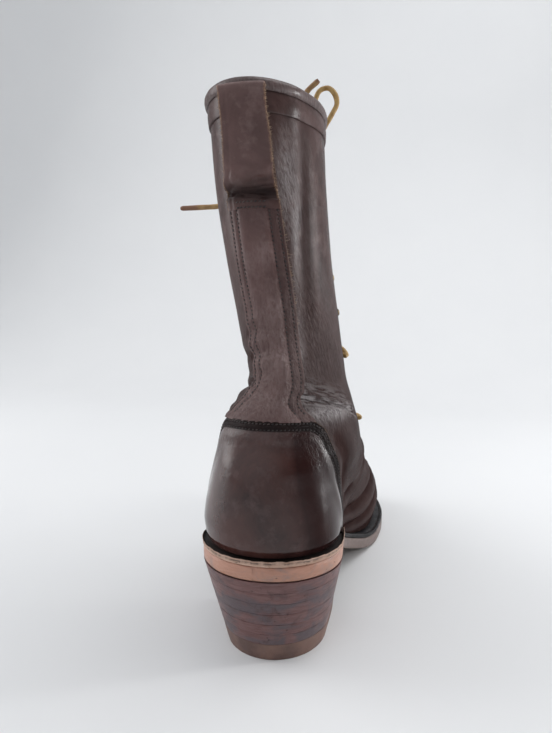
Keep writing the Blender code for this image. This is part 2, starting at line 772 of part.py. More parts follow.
def tube(name, points, radius, finish, sides=8):
    """Round cord along points."""
    curve = bpy.data.curves.new(name, "CURVE")
    curve.dimensions = "3D"
    curve.bevel_depth = radius * MM
    curve.bevel_resolution = (sides - 4) // 2
    curve.use_fill_caps = True
    spline = curve.splines.new("POLY")
    spline.points.add(len(points) - 1)
    for point, spot in zip(spline.points, points):
        point.co = (*(np.asarray(spot) * MM), 1.0)
    return place(name, curve, finish)


def as_mesh(cord):
    """The cord as a closed mesh object of the same name."""
    graph = bpy.context.evaluated_depsgraph_get()
    mesh = bpy.data.meshes.new_from_object(cord.evaluated_get(graph))
    work = bmesh.new()
    work.from_mesh(mesh)
    bmesh.ops.remove_doubles(work, verts=work.verts, dist=1e-6)
    bmesh.ops.recalc_face_normals(work, faces=work.faces)
    work.to_mesh(mesh)
    work.free()
    name = cord.name
    bpy.data.objects.remove(cord)
    made = bpy.data.objects.new(name, mesh)
    made.parent = last_frame
    boot.objects.link(made)
    return made


def lace_turn(side, level):
    """Lace bend at a facing."""
    return facing_point(side, level, LACE_SETBACK, LACE_LIFT)


def lace_crossing(side, low, high):
    """Points between two bends, over the throat from one facing to the other."""
    start = math.pi - side * front_angle(low, facing_gap(low))
    end = math.pi + side * front_angle(high, facing_gap(high))
    share = np.linspace(CROSSING_FROM, 1 - CROSSING_FROM, LACE_STEPS)
    angles = start + (end - start) * share
    return list(skin(angles, low + (high - low) * share, np.full(LACE_STEPS, LACE_LIFT)))


def knot_exit(leaves):
    """Two points on the way out of the knot: clear of its surface, and a stem's length further out."""
    normal = np.array(leaves) / np.linalg.norm(leaves)
    surface = KNOT + KNOT_HALF**2 * normal / np.linalg.norm(KNOT_HALF * normal)
    return [surface + normal * GAP, surface + normal * (GAP + KNOT_STEM)]


def lace_run(side, levels):
    """One half of the lacing: from facing to facing up the throat, then in to the knot."""
    points = []
    for low, high in zip(levels[:-1], levels[1:]):
        points += [lace_turn(side, low)] + lace_crossing(side, low, high)
        side = -side
    points.append(lace_turn(side, levels[-1]))
    return points + knot_exit(np.array(RUN_LEAVES) * (side, 1, 1))[::-1]


def build_lacing(levels):
    reach = front_angle(levels[0], facing_gap(levels[0]) + LACE_SETBACK)
    share = np.linspace(-1.0, 0.5, LACE_STEPS)
    bar = list(skin(math.pi - share * reach, np.full(LACE_STEPS, levels[0]), np.full(LACE_STEPS, LACE_LIFT)))
    run_inner = lace_run(1, levels)
    run_outer = lace_run(-1, levels)
    lace = as_mesh(tube("lace", bar + run_inner, LACE_RADIUS, "rawhide", sides=6))
    other = as_mesh(tube("lace_other_run", run_outer, LACE_RADIUS, "rawhide", sides=6))
    boot.objects.unlink(other)
    cutters.objects.link(other)
    other.hide_render = True
    other.display_type = "WIRE"
    union = lace.modifiers.new("crossings", "BOOLEAN")
    union.operation = "UNION"
    union.object = other


def smooth_route(points):
    """Points every few millimetres along a smooth curve through the route's own points."""
    points = np.array(points, float)
    lengths = np.concatenate([[0], np.cumsum(np.linalg.norm(np.diff(points, axis=0), axis=1))])
    count = round(lengths[-1] / ROUTE_STEP) + 1
    at = np.linspace(0, lengths[-1], count)
    tangents = np.gradient(points, lengths, axis=0)
    i = np.clip(np.searchsorted(lengths, at, side="right") - 1, 0, len(points) - 2)
    step = (lengths[i + 1] - lengths[i])[:, None]
    u = (at - lengths[i])[:, None] / step
    start = (1 + 2 * u) * (1 - u) ** 2 * points[i] + u * (1 - u) ** 2 * step * tangents[i]
    end = u * u * (3 - 2 * u) * points[i + 1] + u * u * (u - 1) * step * tangents[i + 1]
    return start + end


def build_bow():
    knot = bpy.data.meshes.new("lace_knot")
    work = bmesh.new()
    bmesh.ops.create_uvsphere(work, u_segments=10, v_segments=6, radius=MM)
    bmesh.ops.scale(work, vec=Vector(KNOT_HALF), verts=work.verts)
    bmesh.ops.translate(work, vec=Vector(KNOT) * MM, verts=work.verts)
    work.to_mesh(knot)
    work.free()
    knot.shade_smooth()
    place("lace_knot", knot, "rawhide")
    for name, route in ROUTES.items():
        back = knot_exit(route.returns)[::-1] if route.returns else []
        tube(name, smooth_route(knot_exit(route.leaves) + route.points + back), LACE_RADIUS, "rawhide")


def main():
    build_upper()
    build_counter()
    build_back_stay()
    build_collar_band()
    build_collar_binding()
    build_pull_strap()
    build_tongue()
    build_outsole()
    build_insole()
    build_welt_and_rand()
    build_heel()
    levels = facing_levels()
    build_eyelets(levels[:EYELET_ROWS])
    build_hooks(levels[EYELET_ROWS:])
    build_lacing(levels)
    build_bow()


for old in list(bpy.data.objects):
    bpy.data.objects.remove(old)
boot = bpy.data.collections.new("roper_boot")
cutters = bpy.data.collections.new("cutters")
for group in (boot, cutters):
    bpy.context.scene.collection.children.link(group)
last_frame = bpy.data.objects.new("last_frame", None)
last_frame.location = Vector((-HEEL_X, -HEEL_Y, 0.0)) * MM
boot.objects.link(last_frame)
main()
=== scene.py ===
"""Looks of the lace-up roper boot: fine leather, seams, lacing, floor, light and camera.

Sizes are millimetres on the last: y runs from the back of the heel to the toe, x towards the inner side of
the left foot, and z up from the floor. The frame's origin is the middle of the heel's tread.
"""

import math
from collections import namedtuple

import bmesh
import bpy
import numpy as np
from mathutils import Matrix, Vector, noise

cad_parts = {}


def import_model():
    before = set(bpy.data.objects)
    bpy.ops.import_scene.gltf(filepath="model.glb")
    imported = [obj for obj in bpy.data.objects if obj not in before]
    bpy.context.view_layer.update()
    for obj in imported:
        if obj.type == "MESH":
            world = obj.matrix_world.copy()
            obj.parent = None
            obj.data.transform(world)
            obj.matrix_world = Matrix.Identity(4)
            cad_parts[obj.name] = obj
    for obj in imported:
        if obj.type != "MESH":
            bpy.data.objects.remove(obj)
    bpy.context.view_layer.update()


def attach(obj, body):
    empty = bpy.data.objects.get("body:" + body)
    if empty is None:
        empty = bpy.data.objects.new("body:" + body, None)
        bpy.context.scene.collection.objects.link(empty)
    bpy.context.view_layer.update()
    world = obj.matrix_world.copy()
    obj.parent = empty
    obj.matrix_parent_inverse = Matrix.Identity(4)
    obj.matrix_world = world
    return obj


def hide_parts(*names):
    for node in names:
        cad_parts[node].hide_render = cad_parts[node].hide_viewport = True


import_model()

MM = 0.001
ORIGIN = np.array((2.5, 44.7, 0.0))

# Camera, in the frame: place, heading left of +Y and pitch below the horizon in degrees,
# and focal length in pixels of the photo's frame
FRAME_LONG_SIDE = 733
CAMERA_PLACE = (81.4, -340.1, 205.1)
CAMERA_HEADING, CAMERA_PITCH, CAMERA_FOCAL = 13.5, 6.7, 600.0

# Driving sizes of the last
LAST_BACK, LAST_LENGTH = 5.5, 287.5
HALF_BALL = 46.5
INSTEP_HEIGHT = 94.0

# Sole and heel
OUTSOLE, WELT, HEEL_CAP, LIFTS = 8.5, 3.0, 10.5, 6
HEEL_LEDGE, FORE_LEDGE = 4.8, 7.8
LEDGE_GROWS_FROM, LEDGE_GROWS_TO = 0.25, 0.60
SEAM_INSET, WELT_BACK = 4.0, 92.0
HEEL_X, HEEL_BACK, HEEL_BREAST, SEAT_BREAST = 2.5, 13.4, 76.0, 88.0
HEEL_HALF, HEEL_ROUND = 30.0, 34.0

# Leather
GAP, SEAT_GAP = 0.3, 0.7
WALL, OVERLAY, STRAP, TONGUE = 2.4, 1.4, 1.7, 2.4
BAND_LOW, BINDING_LOW = 15.5, 5.0
COUNTER_FRONT, COUNTER_FOOT = 75.0, 0.12

# Lacing
EYELET_ROWS, HOOK_ROWS = 5, 5
FIRST_ROW, LAST_ROW = 9.0, 23.5
EYELET_SETBACK, FITTING_SEAT = 9.0, 0.6
LACE_RADIUS = 1.8

SMALL_STEP = 1e-3
SEED = 11


def table(columns, *rows):
    """Short table: the names of its columns, then a tuple for each row."""
    row = namedtuple("Row", columns)
    return [row(*values) for values in rows]


# Underside of the sole: distance from the heel's back edge, height over the floor
TREAD = table(
    "y z",
    (0, 52.0), (40, 49.5), (75, 42.5), (110, 28.5), (150, 11.5), (178, 2.2), (195, 0.0), (245, 0.0),
    (275, 3.2), (305, 11.0),
)

# One row for each section of the last, from the feather line up to the rim.
# back: y of the back line. rise: height over the heel seat. reach: front point, in last lengths.
# front: height of the front point over the toe seat, in instep heights. heel, waist, ball: half widths, in
# half ball widths. heel_x, waist_x, fore_x: middle line. back_round, front_round: depth of the round ends.
# sag: how far the section follows the curve of the sole.
Section = namedtuple(
    "Section",
    "back rise reach front heel waist ball heel_x waist_x fore_x back_round front_round sag",
)
SECTIONS = [
    Section(5.5, 0.0, 1.000, 0.000, 0.800, 0.670, 0.945, 1.0, -2.0, 7.0, 40, 78, 1.00),
    Section(4.0, 5.5, 1.014, 0.152, 0.850, 0.730, 1.000, 1.0, -2.0, 7.0, 42, 80, 1.00),
    Section(3.0, 13.0, 1.003, 0.314, 0.860, 0.765, 0.970, 0.5, -1.0, 7.0, 44, 80, 0.90),
    Section(3.0, 21.0, 0.965, 0.462, 0.850, 0.765, 0.905, 0.5, 0.0, 7.5, 46, 80, 0.75),
    Section(3.5, 29.5, 0.892, 0.583, 0.830, 0.765, 0.830, 0.5, 2.0, 8.0, 48, 78, 0.60),
    Section(4.5, 38.0, 0.802, 0.690, 0.807, 0.765, 0.785, 0.5, 4.5, 9.0, 48, 72, 0.45),
    Section(6.0, 47.0, 0.711, 0.825, 0.795, 0.775, 0.742, 1.0, 8.0, 10.0, 48, 64, 0.30),
    Section(8.5, 56.0, 0.635, 1.000, 0.785, 0.785, 0.710, 1.0, 11.0, 12.0, 48, 58, 0.15),
    Section(11.0, 66.0, 0.572, 1.229, 0.775, 0.775, 0.688, 1.5, 11.0, 12.0, 48, 54, 0.00),
    Section(14.5, 79.0, 0.517, 1.511, 0.710, 0.720, 0.645, 2.5, 10.0, 11.0, 50, 52, 0.00),
    Section(17.5, 95.0, 0.475, 1.821, 0.550, 0.613, 0.590, 8.5, 9.5, 9.0, 54, 54, 0.00),
    Section(17.0, 124.0, 0.440, 2.252, 0.634, 0.645, 0.602, 5.5, 5.5, 5.5, 56, 56, 0.00),
    Section(13.0, 164.0, 0.419, 2.817, 0.645, 0.656, 0.624, 0.0, 0.0, 0.0, 56, 56, 0.00),
    Section(8.0, 207.0, 0.405, 3.396, 0.667, 0.677, 0.645, -4.0, -4.0, -4.0, 56, 56, 0.00),
    Section(4.0, 248.0, 0.395, 3.948, 0.667, 0.667, 0.660, -6.0, -6.0, -6.0, 56, 56, 0.00),
]
HEEL_AT, WAIST_AT, BALL_AT = 0.14, 0.42, 0.70
TOP = len(SECTIONS) - 1
THROAT = 6.5

# Facings beside the throat: section number, half the gap between them
FACINGS = table(
    "level gap",
    (6.5, 5.0), (9.0, 7.5), (11.0, 8.0), (14.0, 6.0),
)


def glide(knots, values, at):
    """Smooth curve through the knots that never overshoots them."""
    knots = np.asarray(knots, float)
    values = np.asarray(values, float)
    steps = np.diff(knots)
    slopes = np.diff(values) / steps
    before, after = slopes[:-1], slopes[1:]
    level = before * after <= 0
    inner = np.where(level, 0.0, 2 * before * after / np.where(level, 1.0, before + after))
    tangents = np.concatenate([slopes[:1], inner, slopes[-1:]])
    i = np.clip(np.searchsorted(knots, at, side="right") - 1, 0, len(steps) - 1)
    u = (at - knots[i]) / steps[i]
    start = (1 + 2 * u) * (1 - u) ** 2 * values[i] + u * (1 - u) ** 2 * steps[i] * tangents[i]
    end = u * u * (3 - 2 * u) * values[i + 1] + u * u * (u - 1) * steps[i] * tangents[i + 1]
    return start + end


def column(rows, name):
    return [getattr(row, name) for row in rows]


def along(rows, name, at, by):
    """Value of a table's column at a place along another of its columns."""
    return glide(column(rows, by), column(rows, name), at)


def ease(u):
    u = np.clip(u, 0.0, 1.0)
    return u * u * (3 - 2 * u)


def bell(distance, width):
    return np.exp(-((np.asarray(distance, float) / width) ** 2))


def run_lengths(points):
    """Length along a line of points, at each of them."""
    return np.concatenate([[0], np.cumsum(np.linalg.norm(np.diff(points, axis=0), axis=1))])


def read_off(at, knots, points):
    """Points at places along a line of points."""
    return np.stack([np.interp(at, knots, points[:, c]) for c in range(3)], -1)


def tread(y):
    return along(TREAD, "z", np.asarray(y, float), "y")


def seat(y):
    """Top of welt and rand, where the upper sits."""
    return tread(y) + OUTSOLE + GAP + WELT + SEAT_GAP


HEEL_SEAT = float(seat(LAST_BACK))
TOE_SEAT = float(seat(LAST_BACK + LAST_LENGTH))


def section(level):
    return Section(*[glide(range(TOP + 1), column(SECTIONS, name), level) for name in Section._fields])


def between(s, heel, waist, ball, start):
    back = heel + (waist - heel) * ease((s - start) / (WAIST_AT - start))
    fore = waist + (ball - waist) * ease((s - WAIST_AT) / (BALL_AT - WAIST_AT))
    return np.where(s < WAIST_AT, back, fore)


def round_end(distance, depth):
    return np.sqrt(np.clip(1 - np.clip(1 - distance / depth, 0, 1) ** 2, 0, 1))


def foot_share(angle):
    """Share of a section's length, from its back, at an angle."""
    return (1 - np.cos(angle)) / 2


def share_angle(share):
    return np.arccos(1 - 2 * share)


def front_y(row):
    return LAST_BACK + row.reach * LAST_LENGTH


def last_point(angle, level):
    """Point of the last: angle 0 is the back line, pi the front line, and positive angles the inner side."""
    angle, level = np.broadcast_arrays(np.asarray(angle, float), np.asarray(level, float))
    row = section(level)
    s = foot_share(angle)
    length = front_y(row) - row.back
    ahead = s * length
    half = HALF_BALL * between(s, row.heel, row.waist, row.ball, HEEL_AT)
    fore = row.waist_x + (row.fore_x - row.waist_x) * ease((s - WAIST_AT) / (1 - WAIST_AT))
    back = row.heel_x + (row.waist_x - row.heel_x) * ease(s / WAIST_AT)
    middle = np.where(s < WAIST_AT, back, fore)
    ends = round_end(ahead, row.back_round) * round_end(length - ahead, row.front_round)
    sole_curve = seat(LAST_BACK + LAST_LENGTH * s) - HEEL_SEAT * (1 - s) - TOE_SEAT * s
    back_z = HEEL_SEAT + row.rise
    front_z = TOE_SEAT + row.front * (INSTEP_HEIGHT - TOE_SEAT)
    x = middle + np.sign(np.sin(angle)) * half * ends
    z = back_z * (1 - s) + front_z * s + row.sag * sole_curve
    return np.stack([x, row.back + ahead, z], -1)


def slopes_at(angle, level):
    """How a point of the last moves with its angle and with its level."""
    across = last_point(np.add(angle, SMALL_STEP), level) - last_point(np.subtract(angle, SMALL_STEP), level)
    upward = last_point(angle, np.add(level, SMALL_STEP)) - last_point(angle, np.subtract(level, SMALL_STEP))
    return across / (2 * SMALL_STEP), upward / (2 * SMALL_STEP)


def unit(vectors):
    return vectors / np.linalg.norm(vectors, axis=-1, keepdims=True)


def normal_at(angle, level):
    return unit(np.cross(*slopes_at(angle, level)))


def end_angle(reach, half, depth, length):
    """Angle from an end of a section where its half width is reach."""
    distance = depth * (1 - np.sqrt(1 - (reach / half) ** 2))
    return share_angle(distance / length)


def front_angle(level, reach):
    row = section(level)
    return end_angle(reach, HALF_BALL * row.ball, row.front_round, front_y(row) - row.back)


def back_angle(level, reach):
    row = section(level)
    return np.sign(reach) * end_angle(
        np.abs(reach), HALF_BALL * row.heel, row.back_round, front_y(row) - row.back
    )


def facing_gap(level):
    return along(FACINGS, "gap", np.maximum(level, THROAT), "level")


def wall_angle(share, level):
    """Angle at a share of the way from the back line, 0, to a facing, 1 or -1."""
    return share * (math.pi - front_angle(level, facing_gap(level)))


FINE_LEVELS = np.linspace(0, TOP, 800)


def level_at(share, z):
    """Section number at a height, a share of the way round."""
    return np.interp(z, last_point(wall_angle(share, FINE_LEVELS), FINE_LEVELS)[:, 2], FINE_LEVELS)


def place_on_last(share, z):
    """Point of the last at a height, a share of the way round."""
    level = level_at(share, z)
    return last_point(wall_angle(share, level), level)


def back_level(z):
    return level_at(0.0, z)


RIM_Z = float(last_point(0.0, TOP)[2])

# Creases in the leather, as soft troughs with a ridge on both sides.
# spots: points along it, each the share of the way from the back line to the facing and the height.
# depth and width of the trough, lip: height of the ridges beside it, crimp: how far fine folds run along it,
# with painted glints on them.
Crease = namedtuple("Crease", "spots depth width lip crimp")
CREASES = [
    # Break of the ankle on the inner side
    Crease(
        [(0.13, 151.5), (0.17, 150.0), (0.27, 145.5), (0.38, 139.5), (0.47, 134.0), (0.62, 126.0)],
        1.5,
        1.8,
        0.9,
        1.0,
    ),
    Crease([(0.15, 157.0), (0.24, 154.0), (0.34, 149.0), (0.48, 142.0)], 0.8, 2.4, 0.4, 0.4),
    # Break of the ankle on the outer side
    Crease([(-0.12, 156.0), (-0.22, 157.0), (-0.34, 152.0), (-0.52, 143.0)], 1.8, 2.6, 0.9, 0.25),
    Crease([(-0.24, 146.0), (-0.36, 141.0), (-0.55, 132.0)], 0.9, 2.6, 0.5, 0.1),
    Crease([(-0.16, 171.0), (-0.30, 172.0), (-0.48, 163.0)], 0.7, 3.4, 0.4, 0.0),
    # Back of the ankle, soft under the stay
    Crease([(-0.22, 184.0), (-0.08, 187.0), (0.04, 190.0)], 0.90, 3.4, 0.6, 0.0),
    Crease([(-0.22, 172.0), (-0.08, 174.0), (0.03, 178.0)], 1.00, 3.2, 0.6, 0.0),
    Crease([(-0.20, 161.0), (-0.10, 162.0), (0.00, 166.0)], 0.90, 3.4, 0.5, 0.0),
    # Hollow in front of the counter on the inner side
    Crease([(0.30, 128.0), (0.33, 116.0), (0.36, 100.0), (0.40, 80.0)], 1.5, 6.0, 0.8, 0.0),
    Crease([(-0.30, 128.0), (-0.34, 112.0), (-0.38, 92.0)], 1.0, 6.0, 0.5, 0.0),
    # Rolls over the vamp, inner side
    Crease([(0.40, 66.0), (0.52, 68.0), (0.66, 80.0), (0.80, 90.0), (0.93, 86.0)], 3.6, 4.6, 1.9, 0.0),
    Crease([(0.44, 49.0), (0.54, 43.5), (0.63, 46.5), (0.76, 59.0), (0.88, 68.0)], 3.6, 4.2, 1.9, 0.0),
    Crease([(0.49, 31.0), (0.56, 27.0), (0.63, 29.5), (0.73, 36.0), (0.84, 46.0)], 2.4, 3.6, 1.3, 0.0),
    # Rolls over the vamp, outer side
    Crease([(-0.40, 62.0), (-0.54, 62.0), (-0.68, 74.0), (-0.82, 84.0), (-0.95, 80.0)], 2.2, 5.0, 1.3, 0.0),
    Crease([(-0.48, 42.0), (-0.58, 40.0), (-0.70, 48.0), (-0.84, 60.0)], 2.0, 4.6, 1.2, 0.0),
    # Break across the ball
    Crease([(0.83, 44.0), (0.91, 56.0), (0.985, 64.0)], 1.2, 4.0, 0.8, 0.0),
    Crease([(-0.83, 44.0), (-0.91, 55.0), (-0.985, 63.0)], 1.2, 4.0, 0.8, 0.0),
]

# Soft swells and hollows: place as in CREASES, height, and reach along and up
SWELLS = table(
    "share z height wide tall",
    (0.22, 240, 1.1, 6, 55), (0.31, 240, -1.1, 7, 60), (0.48, 245, 0.7, 12, 60),
    (-0.30, 240, 0.8, 10, 60), (0.31, 138, 2.8, 19, 6), (0.03, 228, 0.5, 6, 4),
    (0.04, 200, 0.5, 7, 8), (0.03, 183, 0.6, 8, 4), (0.05, 170, 0.5, 8, 4),
    (-0.14, 167, -0.9, 8, 6), (0.12, 146, 0.8, 8, 5), (0.86, 96, 1.6, 14, 10),
)
RIPPLE, RIPPLE_SIZE = 0.16, 26.0
# Place of a crease's ridges in widths, strength at its ends, reach of its crimps in widths, their run-out
RIDGE_AT, CREASE_ENDS, CRIMP_REACH, CRIMP_ENDS = 1.7, 0.2, 1.7, 5


def line_on_last(spots, count):
    """Shares and section numbers along a smooth line through spots, each a share and a height."""
    spots = np.array(spots)
    at = np.linspace(0, len(spots) - 1, count)
    shares, heights = (glide(range(len(spots)), spots[:, c], at) for c in range(2))
    return shares, np.array([level_at(share, z) for share, z in zip(shares, heights)])


def spots_on_last(spots, count=24):
    """Points of the last along a smooth line through spots."""
    shares, levels = line_on_last(spots, count)
    return last_point(wall_angle(shares, levels), levels)


def distance_to(points, line):
    """Distance from each point to a line of points, and how far along the line it lies, from 0 to 1."""
    flat = points.reshape(-1, 3)
    best = np.full(len(flat), 1e9)
    where = np.zeros(len(flat))
    for k, (start, end) in enumerate(zip(line[:-1], line[1:])):
        run = end - start
        u = np.clip((flat - start) @ run / (run @ run), 0, 1)
        gap = np.linalg.norm(flat - start - u[:, None] * run, axis=1)
        nearer = gap < best
        best[nearer] = gap[nearer]
        where[nearer] = ((k + u) / (len(line) - 1))[nearer]
    return best.reshape(points.shape[:-1]), where.reshape(points.shape[:-1])


CREASE_LINES = [(crease, spots_on_last(crease.spots)) for crease in CREASES]
SWELL_POINTS = [(swell, place_on_last(swell.share, swell.z)) for swell in SWELLS]


def relief(points):
    """How far worn leather stands out from the last at each point."""
    out = np.zeros(points.shape[:-1])
    for crease, line in CREASE_LINES:
        gap, where = distance_to(points, line)
        strength = np.sqrt(np.clip(4 * where * (1 - where), 0, 1)) * (1 - CREASE_ENDS) + CREASE_ENDS
        trough = bell(gap, crease.width)
        ridge = bell(gap - RIDGE_AT * crease.width, crease.width)
        out += strength * (crease.lip * ridge - crease.depth * trough)
    for swell, middle in SWELL_POINTS:
        apart = points - middle
        level = np.linalg.norm(apart[..., :2], axis=-1)
        out += swell.height * bell(level, swell.wide) * bell(apart[..., 2], swell.tall)
    ripple = [noise.fractal(Vector(p) / RIPPLE_SIZE, 1.0, 2.0, 3) for p in points.reshape(-1, 3)]
    return out + RIPPLE * np.reshape(ripple, out.shape)


def crimped(points):
    """How much the leather is folded fine along the creases at each point, from 0 to 1."""
    total = np.zeros(points.shape[:-1])
    for crease, line in CREASE_LINES:
        if crease.crimp:
            gap, where = distance_to(points, line)
            near = crease.crimp * bell(gap, CRIMP_REACH * crease.width)
            total += near * ease(CRIMP_ENDS * where) * ease(CRIMP_ENDS * (1 - where))
    return np.clip(total, 0, 1)


def skin(angle, level, out=0.0, worn=True):
    """Point of the leather's surface, moved out along its normal."""
    angle, level = np.broadcast_arrays(np.asarray(angle, float), np.asarray(level, float))
    points = last_point(angle, level)
    rise = np.broadcast_to(np.asarray(out, float), angle.shape)
    if worn:
        rise = rise + relief(points)
    return points + normal_at(angle, level) * rise[..., None]


def inset(angles, levels, distance):
    """A line on the last moved sideways in its surface: to the left of its run, seen from outside."""
    across, upward = slopes_at(angles, levels)
    normal = unit(np.cross(across, upward))
    run = unit(np.gradient(last_point(angles, levels), axis=0))
    step = np.cross(normal, run) * np.broadcast_to(distance, angles.shape)[..., None]
    aa, uu, au = (across**2).sum(-1), (upward**2).sum(-1), (across * upward).sum(-1)
    sa, su = (step * across).sum(-1), (step * upward).sum(-1)
    det = aa * uu - au * au
    return angles + (sa * uu - su * au) / det, levels + (su * aa - sa * au) / det


def world(points):
    return (np.asarray(points, float) - ORIGIN) * MM


def piece(name, points, faces, finish, slot, replaces=(), marks=None, sharp=50):
    """A smooth mesh that rides on the boot and stands for solids of the frame."""
    mesh = bpy.data.meshes.new(name)
    mesh.from_pydata(world(points).tolist(), [], [tuple(face) for face in faces])
    for mark, values in (marks or {}).items():
        spots = mesh.attributes.new(mark, "FLOAT", "POINT").data
        spots.foreach_set("value", np.asarray(values, np.float32).ravel())
    work = bmesh.new()
    work.from_mesh(mesh)
    bmesh.ops.recalc_face_normals(work, faces=work.faces)
    work.to_mesh(mesh)
    work.free()
    mesh.shade_smooth()
    mesh.set_sharp_from_angle(angle=math.radians(sharp))
    mesh.materials.append(finish)
    made = bpy.data.objects.new(name, mesh)
    bpy.context.scene.collection.objects.link(made)
    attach(made, "root")
    if replaces:
        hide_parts(*replaces)
    return made


def shell(outer, inner, keep=None, wrap=False):
    """Points and faces of the closed wall between two grids of points, and which grid points it uses."""
    rows, cols = outer.shape[:2]
    i, j = np.meshgrid(np.arange(rows - 1), np.arange(cols if wrap else cols - 1), indexing="ij")
    k = (j + 1) % cols
    cells = np.stack([i * cols + j, i * cols + k, (i + 1) * cols + k, (i + 1) * cols + j], -1)
    cells = cells.reshape(-1, 4) if keep is None else cells[keep]
    edges = np.concatenate([cells[:, [a, (a + 1) % 4]] for a in range(4)])
    size = rows * cols
    forth = edges[:, 0] * size + edges[:, 1]
    back = edges[:, 1] * size + edges[:, 0]
    rim = edges[~np.isin(forth, back)]
    sides = np.stack([rim[:, 1], rim[:, 0], rim[:, 0] + size, rim[:, 1] + size], -1)
    used, faces = np.unique(np.concatenate([cells, cells[:, ::-1] + size, sides]), return_inverse=True)
    points = np.concatenate([outer.reshape(-1, 3), inner.reshape(-1, 3)])[used]
    return points, faces.reshape(-1, 4).tolist(), used


def both(values, used, inner=None):
    """A mark for the outer and the inner grid of a shell."""
    values = np.asarray(values, float).ravel()
    inner = values if inner is None else np.full(len(values), float(inner))
    return np.concatenate([values, inner])[used]


def sweep(loops):
    """Points and faces of the solid through closed loops of equal point counts, with both ends capped."""
    loops = np.asarray(loops)
    count, size = loops.shape[:2]
    i, j = np.meshgrid(np.arange(count - 1), np.arange(size), indexing="ij")
    k = (j + 1) % size
    faces = np.stack([i * size + j, i * size + k, (i + 1) * size + k, (i + 1) * size + j], -1)
    last = (count - 1) * size
    ends = [tuple(range(size)), tuple(range(last, last + size))]
    return loops.reshape(-1, 3), faces.reshape(-1, 4).tolist() + ends


# Upper

UPPER_SIDE, UPPER_FRONT = 104, 14
UPPER_LOW_ROWS, UPPER_HIGH_ROWS = 78, 112
# Painted shade: the upper is darker towards the bottom, none at DARK_HIGH and full DARK_FADE lower down
DARK_HIGH, DARK_FADE = 240.0, 100.0
# Depth of a crease trough at which its painted shade is full
TROUGH_SHADE_FULL = 0.9


def even_levels(low, high, count):
    """Section numbers at even steps over the leather."""
    fine = np.linspace(low, high, 500)
    steps = [np.linalg.norm(np.diff(last_point(a, fine), axis=0), axis=1) for a in (0.0, 1.6, math.pi)]
    length = np.concatenate([[0], np.cumsum(np.mean(steps, axis=0))])
    return np.interp(np.linspace(0, length[-1], count), length, fine)


# Fields of fine wrinkles: place as in CREASES, reach, strength
WRINKLES = table(
    "share z reach strength",
    (0.26, 180, 34, 1.0), (0.34, 152, 30, 1.0), (-0.30, 165, 36, 1.0), (0.05, 170, 22, 0.5),
    (0.66, 60, 40, 0.2), (-0.66, 60, 40, 0.3), (0.22, 262, 26, 0.5),
)


# Painted sheen, pale patches where bulges and ridges catch the light: place as in CREASES, reach along and
# up, strength
SHEEN_SPOTS = table(
    "share z wide tall strength",
    (0.27, 139.5, 17, 4.5, 0.9), (0.36, 137.0, 14, 4.0, 0.5), (0.20, 268.0, 6, 20, 0.5),
    (0.24, 248.0, 5, 16, 0.35), (0.155, 172.0, 4, 22, 0.5), (0.04, 227.0, 6, 6, 0.5),
    (0.05, 198.0, 6, 12, 0.45), (0.05, 173.0, 8, 8, 0.6), (0.03, 148.0, 16, 8, 0.4),
)


def worn(points):
    """How much painted sheen lies at each point, from 0 to 1."""
    total = np.zeros(points.shape[:-1])
    for spot in SHEEN_SPOTS:
        apart = points - place_on_last(spot.share, spot.z)
        near = bell(np.linalg.norm(apart[..., :2], axis=-1), spot.wide)
        total += spot.strength * near * bell(apart[..., 2], spot.tall)
    return np.clip(total, 0, 1)


def wrinkled(points):
    """How much the leather is broken into fine wrinkles at each point, from 0 to 1."""
    total = np.zeros(points.shape[:-1])
    for field in WRINKLES:
        middle = place_on_last(field.share, field.z)
        total += field.strength * bell(np.linalg.norm(points - middle, axis=-1), field.reach)
    return np.clip(total, 0, 1)


def build_upper(finish):
    low = even_levels(0.0, THROAT, UPPER_LOW_ROWS)
    high = even_levels(THROAT, TOP, UPPER_HIGH_ROWS)
    levels = np.concatenate([low, high[1:]])[:, None]
    opening = front_angle(levels, facing_gap(levels))
    sides = wall_angle(np.linspace(-1, 1, 2 * UPPER_SIDE + 1), levels)
    fronts = math.pi + np.linspace(-1, 1, UPPER_FRONT + 1)[1:-1] * opening
    angles = np.concatenate([sides, fronts], axis=1)
    keep = np.ones((len(levels) - 1, angles.shape[1]), bool)
    keep[UPPER_LOW_ROWS - 1 :, 2 * UPPER_SIDE :] = False
    rise = relief(last_point(angles, levels))
    outer = skin(angles, levels, rise, worn=False)
    inner = skin(angles, levels, rise - WALL, worn=False)
    points, faces, used = shell(outer, inner, keep, wrap=True)
    edge = np.zeros(angles.shape)
    edge[UPPER_LOW_ROWS - 1 :, [0, 2 * UPPER_SIDE]] = 1
    marks = {
        "wrinkles": both(wrinkled(outer), used),
        "crimp": both(crimped(last_point(angles, levels)), used),
        # Painted sheen: pale patches where bulges and ridges catch the light
        "worn": both(worn(last_point(angles, levels)), used),
        "raw": both(edge, used),
        # Painted shade: colour darkened and coat dulled in the troughs of the creases
        "painted_shade": both(np.clip(-rise / TROUGH_SHADE_FULL, 0, 1), used),
        # Painted shade: darker towards the bottom
        "dark": both(ease((DARK_HIGH - outer[..., 2]) / DARK_FADE), used),
        "inside": both(np.zeros(angles.shape), used, inner=1),
    }
    piece("upper_leather", points, faces, finish, "shaft_leather", ["upper"], marks)


# Overlays

EDGE_ROUND = 0.9
STITCH_DENT, STITCH_DENT_WIDTH, SEAM_PUFF = 0.28, 0.60, 0.22
OVERLAY_SUNK = 0.4


def edge_height(distance, thick):
    """Height of a cut and rounded edge, by the distance from it."""
    u = np.clip(distance / EDGE_ROUND, 0, 1)
    return thick * (0.35 + 0.65 * np.sqrt(1 - (1 - u) ** 2))


def seam_dents(distance, rows):
    """Dents along stitch rows, and the swell between them."""
    dents = sum(bell(distance - row, STITCH_DENT_WIDTH) for row in rows)
    middle = (rows[0] + rows[-1]) / 2
    puff = SEAM_PUFF * bell(distance - middle, (rows[-1] - rows[0]) / 2.6)
    return puff - STITCH_DENT * dents


